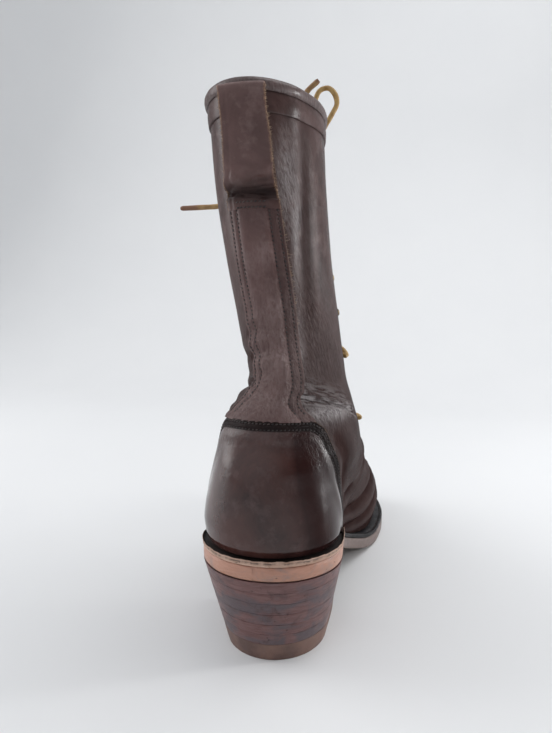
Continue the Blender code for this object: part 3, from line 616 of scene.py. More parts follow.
def overlay(name, angles, levels, thick, finish, slot, replaces, marks):
    angles, levels = np.broadcast_arrays(angles, levels)
    rise = relief(last_point(angles, levels))
    outer = skin(angles, levels, rise + thick, worn=False)
    inner = skin(angles, levels, rise - OVERLAY_SUNK, worn=False)
    points, faces, used = shell(outer, inner)
    kept = {mark: both(values, used, inner) for mark, (values, inner) in marks.items()}
    kept["wrinkles"] = both(wrinkled(outer), used)
    # Painted sheen: pale patches where bulges and ridges catch the light
    kept["worn"] = both(worn(last_point(angles, levels)), used)
    return piece(name, points, faces, finish, slot, replaces, kept)


# Top edge of the heel counter: distance from the heel's back edge, height over the floor
COUNTER_TOP = table(
    "y z",
    (0, 139), (24, 137), (31, 132), (36, 120), (44, 103), (60, 77), (76, 66),
)
COUNTER_ROWS = (2.0, 5.4)
COUNTER_COLUMNS = 180
COUNTER_FINE_FROM, COUNTER_STEPS, COUNTER_FINE_STEPS = 0.86, 44, 34
COUNTER_PUFF, COUNTER_PUFF_IN, COUNTER_PUFF_WIDE = 0.7, 9.5, 3.2
# Marks on the counter: raw edge, strongest at one place as a painted glint, band beside its seam, painted
# shade on the inner side, and a dull line down that side with painted shade
COUNTER_RAW, COUNTER_GLINT_AT, COUNTER_GLINT_WIDE, COUNTER_RAW_LEAST = 0.8, 0.25, 0.05, 0.25
COUNTER_BAND = 6.6
COUNTER_SHADE, COUNTER_SHADE_FROM, COUNTER_SHADE_FADE = 0.9, 0.10, 0.08
COUNTER_SHADE_LINE_AT, COUNTER_SHADE_LINE_WIDE = 0.16, 0.05


def counter_reach():
    s = (COUNTER_FRONT - SECTIONS[1].back) / (front_y(SECTIONS[1]) - SECTIONS[1].back)
    return share_angle(s) / wall_angle(1.0, 1.0)


def counter_edge(count=COUNTER_COLUMNS):
    """Shares and section numbers along the counter's top edge."""
    shares = counter_reach() * np.linspace(-1, 1, count)
    tops = []
    for share in shares:
        points = last_point(wall_angle(share, FINE_LEVELS), FINE_LEVELS)
        over = points[:, 2] - along(COUNTER_TOP, "z", points[:, 1], "y")
        tops.append(np.interp(0.0, over, FINE_LEVELS))
    return shares, np.array(tops)


def build_counter(finish):
    shares, tops = counter_edge()
    fine = np.linspace(COUNTER_FINE_FROM, 1, COUNTER_FINE_STEPS)
    steps = np.concatenate([np.linspace(0, COUNTER_FINE_FROM, COUNTER_STEPS), fine[1:]])
    levels = COUNTER_FOOT + (tops - COUNTER_FOOT) * steps[:, None]
    angles = wall_angle(shares, levels)
    rim = last_point(wall_angle(shares, tops), tops)
    gap, _ = distance_to(last_point(angles, levels), rim)
    puff = COUNTER_PUFF * bell(gap - COUNTER_PUFF_IN, COUNTER_PUFF_WIDE)
    thick = edge_height(gap, OVERLAY) + seam_dents(gap, COUNTER_ROWS) + puff
    # Painted glint: the raw edge's pale colour is strongest at one place, weaker elsewhere
    glint_most = bell(shares - COUNTER_GLINT_AT, COUNTER_GLINT_WIDE)
    raw_and_glint = COUNTER_RAW_LEAST + (1 - COUNTER_RAW_LEAST) * glint_most
    # Painted shade: the inner side is darker
    dark = COUNTER_SHADE * ease((shares - COUNTER_SHADE_FROM) / COUNTER_SHADE_FADE)
    marks = {
        "raw": (np.clip(1 - gap / COUNTER_RAW, 0, 1) * raw_and_glint, 0),
        "seam": (ease(COUNTER_BAND - gap), 0),
        "dark": (dark + 0 * gap, 0),
        # Painted shade and a dull coat in a line down the inner side
        "painted_shade": (bell(shares - COUNTER_SHADE_LINE_AT, COUNTER_SHADE_LINE_WIDE) + 0 * gap, 0),
    }
    overlay("counter_leather", angles, levels, thick, finish, "counter_leather", ["counter"], marks)


# Back stay: height over the floor, reach to the inner and to the outer side
STAY = table(
    "z inner outer",
    (137.0, 25.0, 31.0), (139.5, 23.2, 26.0), (143, 20.0, 21.0), (149, 15.6, 17.0),
    (158, 14.0, 14.6), (172, 13.4, 13.4), (215, 14.0, 14.0), (262, 13.5, 13.5), (295.5, 11.0, 11.0),
)
STAY_ROWS = (1.8, 5.6)
STAY_LENGTHWISE = 150
STAY_PUFF, STAY_PUFF_IN, STAY_PUFF_WIDE = 0.55, 9.0, 2.4
# Under the strap the stay thins out
STAY_THIN, STAY_THIN_FROM, STAY_THIN_TALL = 0.9, 251, 4
# Marks on the stay: raw edge, band beside its inner seam, dark outer side and dark top
STAY_RAW, STAY_RAW_LEAST, STAY_RAW_FROM, STAY_RAW_TALL = 0.7, 0.15, 165, 70
STAY_BAND, STAY_BAND_IN, STAY_BAND_FROM, STAY_BAND_FADE = 0.42, 6.4, -4, 6
STAY_SIDE_DARK, STAY_SIDE_FROM, STAY_SIDE_FADE = 0.55, -2.5, 6
STAY_TOP_DARK, STAY_TOP_FROM, STAY_TOP_TALL = 0.6, 236, 14
FROM_EDGE = np.array((0, 0.12, 0.35, 0.7, 1.1, 1.5, 1.8, 2.2, 2.7, 3.4, 4.2, 4.8, 5.2, 5.6, 6.0, 6.6, 7.4))


def cross_columns(right, left, middles=9):
    """Distances across a strip, finer beside its edges, and the distance of each from the nearer edge."""
    right, left = right[:, None], left[:, None]
    low, high = FROM_EDGE[-1] - left, right - FROM_EDGE[-1]
    middle = low + (high - low) * np.linspace(0, 1, middles + 2)[1:-1]
    across = np.concatenate([FROM_EDGE - left, middle, (right - FROM_EDGE)[:, ::-1]], -1)
    return across, np.minimum(across + left, right - across)


def build_back_stay(finish):
    heights = np.linspace(STAY[0].z, STAY[-1].z, STAY_LENGTHWISE)
    levels = back_level(heights)
    across, gap = cross_columns(along(STAY, "inner", heights, "z"), along(STAY, "outer", heights, "z"))
    angles = back_angle(levels[:, None], across)
    puff = STAY_PUFF * bell(gap - STAY_PUFF_IN, STAY_PUFF_WIDE)
    thick = edge_height(gap, OVERLAY) + seam_dents(gap, STAY_ROWS) + puff
    thick = thick * (1 - STAY_THIN * ease((heights - STAY_THIN_FROM) / STAY_THIN_TALL))[:, None]
    upper_part = ease((heights - STAY_RAW_FROM) / STAY_RAW_TALL)[:, None]
    raw = STAY_RAW_LEAST + (1 - STAY_RAW_LEAST) * upper_part
    band = STAY_BAND * ease(STAY_BAND_IN - gap) * ease((across - STAY_BAND_FROM) / STAY_BAND_FADE)
    side = STAY_SIDE_DARK * ease((STAY_SIDE_FROM - across) / STAY_SIDE_FADE)
    top = STAY_TOP_DARK * ease((heights - STAY_TOP_FROM) / STAY_TOP_TALL)[:, None]
    marks = {
        "raw": (np.clip(1 - gap / STAY_RAW, 0, 1) * raw, 0),
        "seam": (band, 0),
        "dark": (side + top, 0),
    }
    levels = levels[:, None]
    overlay("back_stay_leather", angles, levels, thick, finish, "shaft_leather", ["back_stay"], marks)


COLLAR_END = 0.992
COLLAR_COLUMNS = 220
BAND_THICK, BAND_PUFF, BAND_PUFF_WIDE, BAND_UNDER = 0.7, 0.5, 4.5, 0.6
BAND_EDGE_COLUMNS, BAND_FROM_EDGE, BAND_STEPS = 8, 3.0, 14
BAND_SEAM, BAND_SEAM_WIDE, BINDING_SEAM_WIDE = 0.5, 0.4, 0.7


def collar_shares():
    return np.linspace(-COLLAR_END, COLLAR_END, COLLAR_COLUMNS)


def build_collar_band(finish):
    edge = BAND_LOW - FROM_EDGE[:BAND_EDGE_COLUMNS]
    rest = np.linspace(BAND_LOW - BAND_FROM_EDGE, BINDING_LOW - BAND_UNDER, BAND_STEPS)
    down = np.concatenate([edge, rest])
    levels = back_level(RIM_Z - down)[:, None]
    gap = (BAND_LOW - down)[:, None]
    puff = BAND_PUFF * bell(down - (BAND_LOW + BINDING_LOW) / 2, BAND_PUFF_WIDE)[:, None]
    seam = BAND_SEAM * bell(gap, BAND_SEAM_WIDE) + bell(down - BINDING_LOW, BINDING_SEAM_WIDE)[:, None]
    thick = edge_height(gap, BAND_THICK) + puff + np.zeros((1, COLLAR_COLUMNS))
    marks = {"raw": (0 * thick, 0), "seam": (seam + 0 * thick, 0)}
    angles = wall_angle(collar_shares(), levels)
    overlay("collar_band_leather", angles, levels, thick, finish, "shaft_leather", ["collar_band"], marks)


# Rolled binding over the rim, as distance below the rim and distance out from the shaft
BINDING_WORN = 0.22
BINDING = table(
    "down out",
    (5.2, 0.6), (4.9, 1.5), (3.8, 2.2), (2.4, 2.4), (1.0, 2.2), (-0.1, 1.5), (-0.9, 0.3),
    (-1.2, -1.2), (-0.9, -2.7), (-0.1, -3.6), (1.5, -4.0), (3.5, -3.8), (5.0, -3.0), (4.0, -1.2),
)


def build_collar_binding(finish):
    angles = wall_angle(collar_shares(), TOP)
    loops = []
    for bead in BINDING:
        level = back_level(RIM_Z - max(bead.down, 0.0))
        loops.append(skin(angles, level, bead.out) + (0, 0, max(-bead.down, 0.0)))
    points, faces = sweep(np.stack(loops, axis=1))
    marks = {"worn": np.full(len(points), BINDING_WORN)}
    name = "collar_binding"
    piece(f"{name}_leather", points, faces, finish, "shaft_leather", [name], marks, sharp=60)


# Pull strap: the top of the stay, standing off the shaft in a loop.
# z: height, out: distance of its middle from the shaft, curl: how far it wraps round the shaft.
Strap = namedtuple("Strap", "z out curl")
STRAP_INNER = [
    Strap(266, 2.4, 1.0),
    Strap(275, 2.65, 1.0),
    Strap(290, 2.8, 1.0),
    Strap(297, 3.0, 1.0),
    Strap(301, 3.4, 1.0),
]
STRAP_FOLD_Z, STRAP_FOLD_RADIUS, STRAP_FOLD_STEPS = 305.0, 3.3, 8
STRAP_OUTER = [
    Strap(298, 9.7, 0.15),
    Strap(292, 8.8, 0.2),
    Strap(284, 7.2, 0.35),
    Strap(276, 5.4, 0.6),
    Strap(269, 3.9, 0.85),
    Strap(263, 2.5, 1.0),
    Strap(257.5, 1.35, 1.0),
    Strap(250, 0.95, 1.0),
]
STRAP_INNER_HALF, STRAP_HALF, STRAP_FOOT_HALF = 9.8, 11.0, 13.4
STRAP_FOOT_Z, STRAP_FOOT_TALL = 270.0, 18.0
STRAP_SHIFT, STRAP_SHIFT_Z, STRAP_SHIFT_TALL = 2.4, 262.0, 28.0
STRAP_LENGTHWISE = 240
# Folds where the strap is pressed into its seam: height at the middle, slope, depth, which is less than 0
# on a ridge, and width
STRAP_FOLDS = table(
    "z slope depth width",
    (267.0, 0.30, -1.4, 3.2), (262.6, 0.26, 1.5, 1.1), (260.6, 0.18, 1.0, 0.6),
    (259.0, 0.12, 1.3, 0.8), (257.4, 0.04, 0.9, 0.6), (255.8, -0.04, 1.1, 0.7),
)
STRAP_FOLD_WANDER, STRAP_FOLD_LIMIT = 1.4, -1.6
STRAP_GROOVE, STRAP_GROOVE_WIDE = 3.4, 0.7
STRAP_FACES_FROM, STRAP_FACES_FADE = 0.40, 0.06
# Marks on the strap: raw edge, painted shade in the folds of its pressed seam, painted sheen along its top
# fold, painted shade at its foot and on its inner side
STRAP_RAW, STRAP_RAW_WIDE = 1.15, 0.9
PRESSED_SHADE, PRESSED_SHADE_Z, PRESSED_SHADE_TALL = 0.95, 258.0, 4.0
FOLD_SHEEN, FOLD_SHEEN_FROM, FOLD_SHEEN_TALL = 0.7, 306.6, 1.5
FOOT_SHADE, FOOT_SHADE_Z, FOOT_SHADE_TALL = 0.6, 270, 8
SHADE, SHADE_X, SHADE_WIDE, SHADE_Z, SHADE_TALL = 0.45, 8.0, 5.0, 280.0, 15.0


def strap_path():
    """Rows of the strap's middle line, and the share of its length at each."""
    start, end = STRAP_INNER[-1], STRAP_OUTER[0]
    fold = []
    for k in range(STRAP_FOLD_STEPS + 1):
        turn = math.pi * k / STRAP_FOLD_STEPS
        z = STRAP_FOLD_Z + STRAP_FOLD_RADIUS * math.sin(turn)
        out = start.out + STRAP_FOLD_RADIUS * (1 - math.cos(turn))
        fold.append(Strap(z, out, start.curl + (end.curl - start.curl) * float(ease(k / STRAP_FOLD_STEPS))))
    rows = np.array(STRAP_INNER + fold + STRAP_OUTER)
    length = np.concatenate([[0], np.cumsum(np.hypot(*np.diff(rows[:, :2], axis=0).T))])
    at = np.linspace(0, length[-1], STRAP_LENGTHWISE)
    return np.stack([glide(length, rows[:, c], at) for c in range(3)], -1), at / length[-1]


def wander(values, size, shift):
    """Smooth random numbers along a row of values."""
    flat = [noise.noise(Vector((v / size, shift, 0.37))) for v in np.ravel(values)]
    return np.reshape(flat, np.shape(values))


def strap_crumple(z, across):
    """How far the strap's face stands out where it is pressed into its seam."""
    total = 0.0
    for k, fold in enumerate(STRAP_FOLDS):
        line = fold.z + fold.slope * across + STRAP_FOLD_WANDER * wander(across, 5.0, 3.1 * k)
        strength = 0.75 + 0.8 * wander(across, 4.0, 3.1 * k + 1.7)
        total = total - fold.depth * strength * bell(z - line, fold.width)
    return np.maximum(total, STRAP_FOLD_LIMIT)


def strap_faces():
    """The strap's outer and inner face, heights, distances across and from an edge, which rows face out."""
    path, share = strap_path()
    line = path[:, [1, 0]]
    heading = unit(np.gradient(line, axis=0))
    sideways = np.stack([-heading[:, 1], heading[:, 0]], -1)
    facing = ease((share - STRAP_FACES_FROM) / STRAP_FACES_FADE)
    foot = ease((STRAP_FOOT_Z - path[:, 0]) / STRAP_FOOT_TALL) * facing
    half = STRAP_INNER_HALF + (STRAP_HALF - STRAP_INNER_HALF) * facing + (STRAP_FOOT_HALF - STRAP_HALF) * foot
    across, gap = cross_columns(half, half)
    outward = facing[:, None]
    shift = STRAP_SHIFT * (ease((path[:, 0] - STRAP_SHIFT_Z) / STRAP_SHIFT_TALL) * facing)[:, None]
    round_off = 0.5 * STRAP * (1 - edge_height(gap, 1.0))
    groove = STITCH_DENT * bell(gap - STRAP_GROOVE, STRAP_GROOVE_WIDE) * outward * (across < 0)
    grids = []
    for sign in (1, -1):
        out = line[:, :1] + sign * sideways[:, :1] * (STRAP / 2 - round_off)
        z = line[:, 1:] + sign * sideways[:, 1:] * (STRAP / 2 - round_off)
        if sign > 0:
            out = out + outward * strap_crumple(z, across) - groove
        levels = back_level(z)
        wrapped = skin(back_angle(levels, across), levels, out)
        flat = skin(0 * across, levels, out) + np.stack([across, 0 * across, 0 * across], -1)
        curl = path[:, 2][:, None, None]
        sideward = np.stack([shift + 0 * across, 0 * across, 0 * across], -1)
        grids.append(curl * wrapped + (1 - curl) * flat + sideward)
    return grids, path[:, 0], across, gap, outward


def build_pull_strap(finish):
    grids, heights, across, gap, outward = strap_faces()
    points, faces, used = shell(*grids)
    # Painted shade in the pressed folds, at the foot and on the inner side, and painted sheen along the top
    # fold
    pressed = PRESSED_SHADE * bell(heights - PRESSED_SHADE_Z, PRESSED_SHADE_TALL)[:, None] * outward
    rubbed = FOLD_SHEEN * ease((heights - FOLD_SHEEN_FROM) / FOLD_SHEEN_TALL)[:, None]
    foot = FOOT_SHADE * ease((FOOT_SHADE_Z - heights) / FOOT_SHADE_TALL)[:, None]
    shaded = SHADE * bell(across - SHADE_X, SHADE_WIDE) * bell(heights - SHADE_Z, SHADE_TALL)[:, None]
    marks = {
        "raw": both(np.clip(STRAP_RAW - gap / STRAP_RAW_WIDE, 0, 1), used),
        "seam": both(pressed + 0 * gap, used),
        "worn": both(rubbed + 0 * gap, used),
        "dark": both((foot + shaded) * outward, used),
    }
    piece("pull_strap_leather", points, faces, finish, "strap_leather", ["pull_strap"], marks)


# Loose fibres along the strap's and the stay's cut edges: steps along the edge, length, thickness
FIBRE_STEP, FIBRE_LENGTH, FIBRE_RADIUS = 0.22, 0.85, 0.09
FIBRE_SIDES = 3
FIBRE_LEAN, FIBRE_BEND, FIBRE_CURL, FIBRE_SCATTER, FIBRE_ROOT = 0.7, 0.6, 0.6, 0.35, 0.2
# Spread of their lengths, as shape and scale of a gamma distribution
FIBRE_SHAPE, FIBRE_SCALE = 3.0, 0.33
STRAP_FRAYS_FROM, STAY_FRAYS_FROM, STAY_FRAYS_TO, STAY_FIBRES = 253, 252, 190, 0.25


def fibre_edges():
    """Lines along raw edges, the way the leather lies from each, and how many of the fibres stay on."""
    (outer, inner), heights, _, _, outward = strap_faces()
    shown = (outward[:, 0] > 0.9) & (heights > STRAP_FRAYS_FROM)
    edges = []
    for column, neighbour in ((0, 6), (-1, -7)):
        line = ((outer + inner) / 2)[shown, column]
        edges.append((line, unit(line - outer[shown, neighbour]), 1.0))
    stay = np.linspace(STAY_FRAYS_FROM, STAY_FRAYS_TO, 160)
    levels = back_level(stay)
    half = along(STAY, "inner", stay, "z")
    line = skin(back_angle(levels, half), levels, 0.8 * OVERLAY)
    beside = skin(back_angle(levels, half - 2), levels, OVERLAY)
    edges.append((line, unit(line - beside), STAY_FIBRES))
    return edges


def build_fibres(finish):
    rng = np.random.default_rng(SEED)
    turn = 2 * np.pi * np.arange(FIBRE_SIDES) / FIBRE_SIDES
    meshes = []
    for line, away, share in fibre_edges():
        length = run_lengths(line)
        at = np.sort(rng.uniform(0, length[-1], int(share * length[-1] / FIBRE_STEP)))
        roots = read_off(at, length, line)
        ways = read_off(at, length, away)
        for root, way in zip(roots, ways):
            lean = rng.normal(0, FIBRE_LEAN, 3)
            long = FIBRE_LENGTH * rng.gamma(FIBRE_SHAPE, FIBRE_SCALE)
            middle = root + long * 0.5 * unit(way + FIBRE_BEND * lean)
            tip = middle + long * 0.5 * unit(way + lean + rng.normal(0, FIBRE_CURL, 3))
            side = unit(np.cross(way, (0.31, 0.52, 0.79)))
            ring = np.cos(turn)[:, None] * side + np.sin(turn)[:, None] * np.cross(way, side)
            start = root + rng.normal(0, FIBRE_SCATTER) * np.cross(way, (0, 0, 1)) - FIBRE_ROOT * way
            sizes = ((start, 1.0), (middle, 0.8), (tip, 0.25))
            meshes.append(sweep([spot + FIBRE_RADIUS * fat * ring for spot, fat in sizes]))
    points, faces = join(meshes)
    piece("strap_fibres", points, faces, finish, "strap_leather")


# Tongue: section number, half width, depth of its face under the facings
TONGUE_ROWS = table(
    "level half depth",
    (5.6, 15.0, 2.7), (6.6, 16.0, 3.6), (9.0, 19.0, 6.3), (12.5, 22.0, 5.6), (14.1, 24.0, 5.2),
)
TONGUE_RIPPLE, TONGUE_WRINKLES = 0.25, 0.6


def build_tongue(finish):
    levels = np.linspace(TONGUE_ROWS[0].level, TONGUE_ROWS[-1].level, 110)
    across = np.linspace(-1, 1, 31)
    angles = math.pi + front_angle(levels, along(TONGUE_ROWS, "half", levels, "level"))[:, None] * across
    ripple = TONGUE_RIPPLE * np.sin(9 * across + levels[:, None] * 3)
    depth = along(TONGUE_ROWS, "depth", levels, "level")[:, None] + ripple
    outer = skin(angles, levels[:, None], -depth, worn=False)
    inner = skin(angles, levels[:, None], -depth - TONGUE, worn=False)
    points, faces, used = shell(outer, inner)
    wrinkles = np.full(angles.shape, TONGUE_WRINKLES)
    marks = {"wrinkles": both(wrinkles, used), "raw": both(0 * wrinkles, used)}
    piece("tongue_leather", points, faces, finish, "shaft_leather", ["tongue"], marks)


# Seam at the front edge of the quarter, where it laps over the vamp: share and height as in CREASES
QUARTER_SEAM = [(0.99, 92.0), (0.94, 80.0), (0.89, 64.0), (0.84, 48.0), (0.80, 35.0), (0.77, 26.0)]
QUARTER_LAP, QUARTER_STRIP = 1.1, 11.0
QUARTER_ROWS = (1.8, 4.6)
QUARTER_SUNK, QUARTER_DARK, QUARTER_BAND, QUARTER_BAND_FADE = 0.1, 0.6, 6.5, 2.0


def quarter_line(side, count=90):
    shares, levels = line_on_last(QUARTER_SEAM, count)
    return wall_angle(side * shares, levels), levels


def build_quarter_edges(finish):
    back = np.concatenate([FROM_EDGE, (9.0, QUARTER_STRIP)])
    for side, word in ((1, "inner"), (-1, "outer")):
        line = quarter_line(side)
        angles, levels = np.swapaxes([inset(*line, -side * d) for d in back], 0, 1)
        gap = back[:, None] + 0 * angles
        lap = edge_height(gap, QUARTER_LAP) * (1 - ease(gap / QUARTER_STRIP))
        thick = lap + seam_dents(gap, QUARTER_ROWS)
        thick = np.where(gap > QUARTER_STRIP - QUARTER_SUNK, -QUARTER_SUNK, thick)
        seam = QUARTER_DARK * ease((QUARTER_BAND - gap) / QUARTER_BAND_FADE)
        marks = {"raw": (0 * gap, 0), "seam": (seam, 0)}
        overlay(f"quarter_edge_{word}", angles, levels, thick, finish, "shaft_leather", (), marks)


# Sole

END_ANGLE = 0.02
SOLE_COUNT, WELT_COUNT, RAND_COUNT, HEEL_COUNT = 150, 240, 260, 70
# Edge of a layer under the last: distance beyond the ledge, height over its own foot
OUTSOLE_RIM = table(
    "beyond height",
    (-1.6, 0.0), (-0.7, 0.25), (-0.15, 0.9), (0.0, 2.2), (0.05, 4.3), (0.0, 6.6), (-0.1, 7.7),
    (-0.45, 8.3), (-1.1, OUTSOLE),
)
WELT_RIM = table(
    "beyond height",
    (-0.3, 0.0), (0.0, 0.5), (0.05, 1.5), (0.0, 2.4), (-0.5, WELT), (-1.8, WELT),
    (-2.4, WELT - 0.5), (-3.0, WELT),
)
RAND_RIM = table(
    "beyond height",
    (0.0, 0.0), (0.35, 0.2), (0.55, 0.9), (0.7, 2.3), (0.85, 3.0), (0.65, 3.35), (0.25, 3.0),
    (-0.1, 1.9), (-1.6, 1.2),
)
RAND_FRAY, RAND_END_LIP, RAND_END_FROM, RAND_LIP_ROW = 0.45, 2.6, 0.72, 6
RAND_INNER, RAND_SEAM, RAND_SEAM_WIDE, RAND_RAW_FROM, RAND_RAW_TALL = 2.2, 2.2, 0.25, 2.8, 0.4
# Rims above this height follow the lift of a strip's lip
LIP_FROM = 2
FORE_FROM, FORE_FADE, UNDER_TOP, UNDER_FADE = 70, 60, 0.6, 0.5
# Size and height of the unevenness of cut edges, and how far the grooves between lifts show
SOLE_LUMP, SOLE_UNEVEN, RAND_LUMP, LIFT_LUMP, LIFT_UNEVEN = 9.0, 0.12, 5.0, 7.0, 0.10
GROOVE_LUMP, GROOVE_SPREAD, GROOVE_SHOWN = 16.0, 1.5, 0.45


def sole_ledge(angle):
    """How far the sole stands out from the feather line."""
    grown = (foot_share(angle) - LEDGE_GROWS_FROM) / (LEDGE_GROWS_TO - LEDGE_GROWS_FROM)
    return HEEL_LEDGE + (FORE_LEDGE - HEEL_LEDGE) * ease(grown)


def sole_edge(angle, beyond=0.0):
    """Outline of the sole: the feather line moved out level by the ledge and a distance beyond it."""
    angle = np.asarray(angle, float)
    heading = last_point(angle + SMALL_STEP, 0.0) - last_point(angle - SMALL_STEP, 0.0)
    normal = unit(np.stack([heading[..., 1], -heading[..., 0]], -1))
    return last_point(angle, 0.0)[..., :2] + normal * (sole_ledge(angle) + beyond)[..., None]


def raised(outline, height):
    """Outline lifted to a height over the tread."""
    return np.concatenate([outline, (tread(outline[..., 1]) + height)[..., None]], -1)


def rough(points, size, depth, shift=0.0):
    """Small uneven offsets, as on cut leather."""
    flat = points.reshape(-1, points.shape[-1])[:, :3]
    values = [noise.fractal(Vector(p) / size + Vector((shift, 0, 0)), 0.8, 2.1, 4) for p in flat]
    return depth * np.reshape(values, points.shape[:-1])


def build_outsole(finish):
    angles = np.linspace(END_ANGLE, math.pi - END_ANGLE, SOLE_COUNT)
    sides = []
    for side in (-1, 1):
        uneven = rough(raised(sole_edge(side * angles), 0.0), SOLE_LUMP, SOLE_UNEVEN)
        edges = [(sole_edge(side * angles, rim.beyond + uneven), rim.height) for rim in OUTSOLE_RIM]
        sides.append([raised(*edge) for edge in edges])
    points, faces = sweep(np.stack(sides[0] + sides[1][::-1], axis=1))
    height = points[:, 2] - tread(points[:, 1])
    fore = ease((points[:, 1] - FORE_FROM) / FORE_FADE)
    marks = {"fore": fore, "under": ease((UNDER_TOP - height) / UNDER_FADE)}
    piece("outsole_leather", points, faces, finish, "sole_leather", ["outsole"], marks)


def strip(angles, rims, lift, inner_height):
    """Loops round a strip between upper and outsole, with its edge as the rims say."""
    foot = OUTSOLE + GAP
    inner = sole_edge(angles, -sole_ledge(angles) - SEAM_INSET)
    rows = [raised(inner, foot)]
    for rim in rims:
        height = foot + rim.height + lift * (rim.height > LIP_FROM)
        rows.append(raised(sole_edge(angles, rim.beyond + 0 * angles), height))
    return np.stack(rows + [raised(inner, foot + inner_height)], axis=1)


def rand_end():
    return share_angle((WELT_BACK - LAST_BACK) / LAST_LENGTH)


def build_welt(finish):
    end = share_angle((WELT_BACK + 2 * GAP - LAST_BACK) / LAST_LENGTH)
    angles = np.linspace(end, 2 * math.pi - end, WELT_COUNT)
    points, faces = sweep(strip(angles, WELT_RIM, 0.0, WELT))
    piece("welt_strip", points, faces, finish, "welt_leather", ["welt"])


def build_rand(finish):
    angles = np.linspace(-rand_end(), rand_end(), RAND_COUNT)
    ends = np.abs(angles) / rand_end()
    flare = RAND_END_LIP * ease((ends - RAND_END_FROM) / (1 - RAND_END_FROM))
    lift = flare + rough(raised(sole_edge(angles), 0.0), RAND_LUMP, RAND_FRAY)
    points, faces = sweep(strip(angles, RAND_RIM, lift, RAND_INNER))
    height = points[:, 2] - tread(points[:, 1]) - OUTSOLE - GAP
    # Painted shade: rows behind the lip, in the gap under the counter, are painted near black
    behind = np.tile(np.arange(len(RAND_RIM) + 2) > RAND_LIP_ROW, RAND_COUNT)
    raw = ease((height - RAND_RAW_FROM) / RAND_RAW_TALL)
    marks = {"raw": raw, "seam": bell(height - RAND_SEAM, RAND_SEAM_WIDE), "behind": behind}
    piece("heel_rand_strip", points, faces, finish, "rand_leather", ["heel_rand"], marks, sharp=70)


def heel_edge(part, side):
    """Edge of the heel block, from its back to its breast: part is 0 on the floor and 1 at the seat."""
    q = 1 - np.cos(np.linspace(END_ANGLE, math.pi / 2, HEEL_COUNT))
    floor_y = HEEL_BACK + q * (HEEL_BREAST - HEEL_BACK)
    floor_x = HEEL_X + side * HEEL_HALF * round_end(floor_y - HEEL_BACK, HEEL_ROUND)
    outline = sole_edge(side * np.linspace(0.0, math.pi / 2, 200))
    back = outline[0, 1]
    seat_y = back + q * (SEAT_BREAST - back)
    seat_x = np.interp(seat_y, outline[:, 1], outline[:, 0])
    return np.stack([floor_x + part * (seat_x - floor_x), floor_y + part * (seat_y - floor_y)], -1)


# Edge of a heel layer: share of its height, distance in from the heel's side
LIFT_RIM = table(
    "share inset",
    (0.0, 0.16), (0.05, 0.04), (0.2, 0.0), (0.5, -0.04), (0.8, 0.0), (0.95, 0.04), (1.0, 0.16),
)


def build_heel_layer(name, node, parts, low, high, finish, slot, tone):
    sides = []
    for side in (-1, 1):
        rows = []
        for rim in LIFT_RIM:
            edge = heel_edge(parts[0] + rim.share * (parts[1] - parts[0]), side)
            middle = np.array((HEEL_X, edge[:, 1].max()))
            inward = unit(middle - edge)
            spots = np.concatenate([edge, low(edge[:, 1:])], 1)
            uneven = rough(spots, LIFT_LUMP, LIFT_UNEVEN, shift=tone * 9)
            patchy = rough(spots, GROOVE_LUMP, GROOVE_SPREAD, shift=rim.share + tone * 5)
            shown = np.clip(GROOVE_SHOWN + patchy, 0, 1)
            edge = edge + inward * (rim.inset * shown + uneven)[:, None]
            y = edge[:, 1]
            rows.append(np.stack([edge[:, 0], y, low(y) + rim.share * (high(y) - low(y))], -1))
        sides.append(rows)
    points, faces = sweep(np.stack(sides[0] + sides[1][::-1], axis=1))
    piece(name, points, faces, finish, slot, [node], {"tone": np.full(len(points), tone)})


def build_heel(stack, cap):
    cap_part = HEEL_CAP / TREAD[0].z

    def flat(z):
        return lambda y: 0 * y + z

    def lift_height(share, lift):
        return lambda y: HEEL_CAP + share * (tread(y) - GAP - HEEL_CAP) + lift

    parts, faces = (0.0, cap_part), (flat(0.0), flat(HEEL_CAP))
    build_heel_layer("heel_cap", "heel_top_lift", parts, *faces, cap, "cap_rubber", 0.5)
    tones = np.random.default_rng(SEED).permutation(LIFTS) / (LIFTS - 1)
    for k in range(LIFTS):
        low, high = k / LIFTS, (k + 1) / LIFTS
        parts = [cap_part + share * (1 - cap_part) for share in (low, high)]
        name = f"heel_lift_{k + 1}"
        faces = lift_height(low, GAP / 3), lift_height(high, 0.0)
        build_heel_layer(f"{name}_leather", name, parts, *faces, stack, "stack_leather", float(tones[k]))


# Stitches

STITCH_SIDES = 6
# Half of a stitch: place along it in half lengths, thickness and height in radii
HALF_STITCH = [(1.0, 0.25, -0.55), (0.8, 0.75, -0.15), (0.35, 1.0, 0.1)]
STITCH_SHAPE = [(-place, fat, up) for place, fat, up in HALF_STITCH] + HALF_STITCH[::-1]
STITCH_LEAN, STITCH_LEAN_SPREAD, STITCH_SIZE_SPREAD = 0.35, 0.06, 0.08
# Thread of a seam: distance between stitches, length of one, its radius
Thread = namedtuple("Thread", "pitch length radius")
UPPER_THREAD = Thread(2.2, 1.5, 0.40)
STRAP_THREAD = Thread(2.1, 1.7, 0.36)
WELT_THREAD = Thread(4.2, 3.6, 0.5)
HEADING_STEP = 0.4
FACING_ROWS = (2.4, 16.5)
STRAP_SEAM, STRAP_SEAM_HALF, STRAP_SEAM_OUT = (253.6, 250.8), 7.6, 1.95
SUNK_THREAD, QUARTER_THREAD_OUT, FACING_THREAD_OUT = 0.12, 0.75, 0.05
FACING_SEAM_LOW, FACING_SEAM_HIGH = 0.2, 0.35
STAY_SEAM_LOW, STAY_SEAM_HIGH = 141, 251
WELT_SEAM_IN, WELT_SEAM_SUNK = 2.4, 0.25


def resample(points, step):
    """Points at even steps along a line, and its heading there."""
    length = run_lengths(points)
    at = np.arange(step / 2, length[-1], step)
    spots = read_off(at, length, points)
    ahead = read_off(at + HEADING_STEP, length, points)
    behind = read_off(at - HEADING_STEP, length, points)
    return spots, unit(ahead - behind)


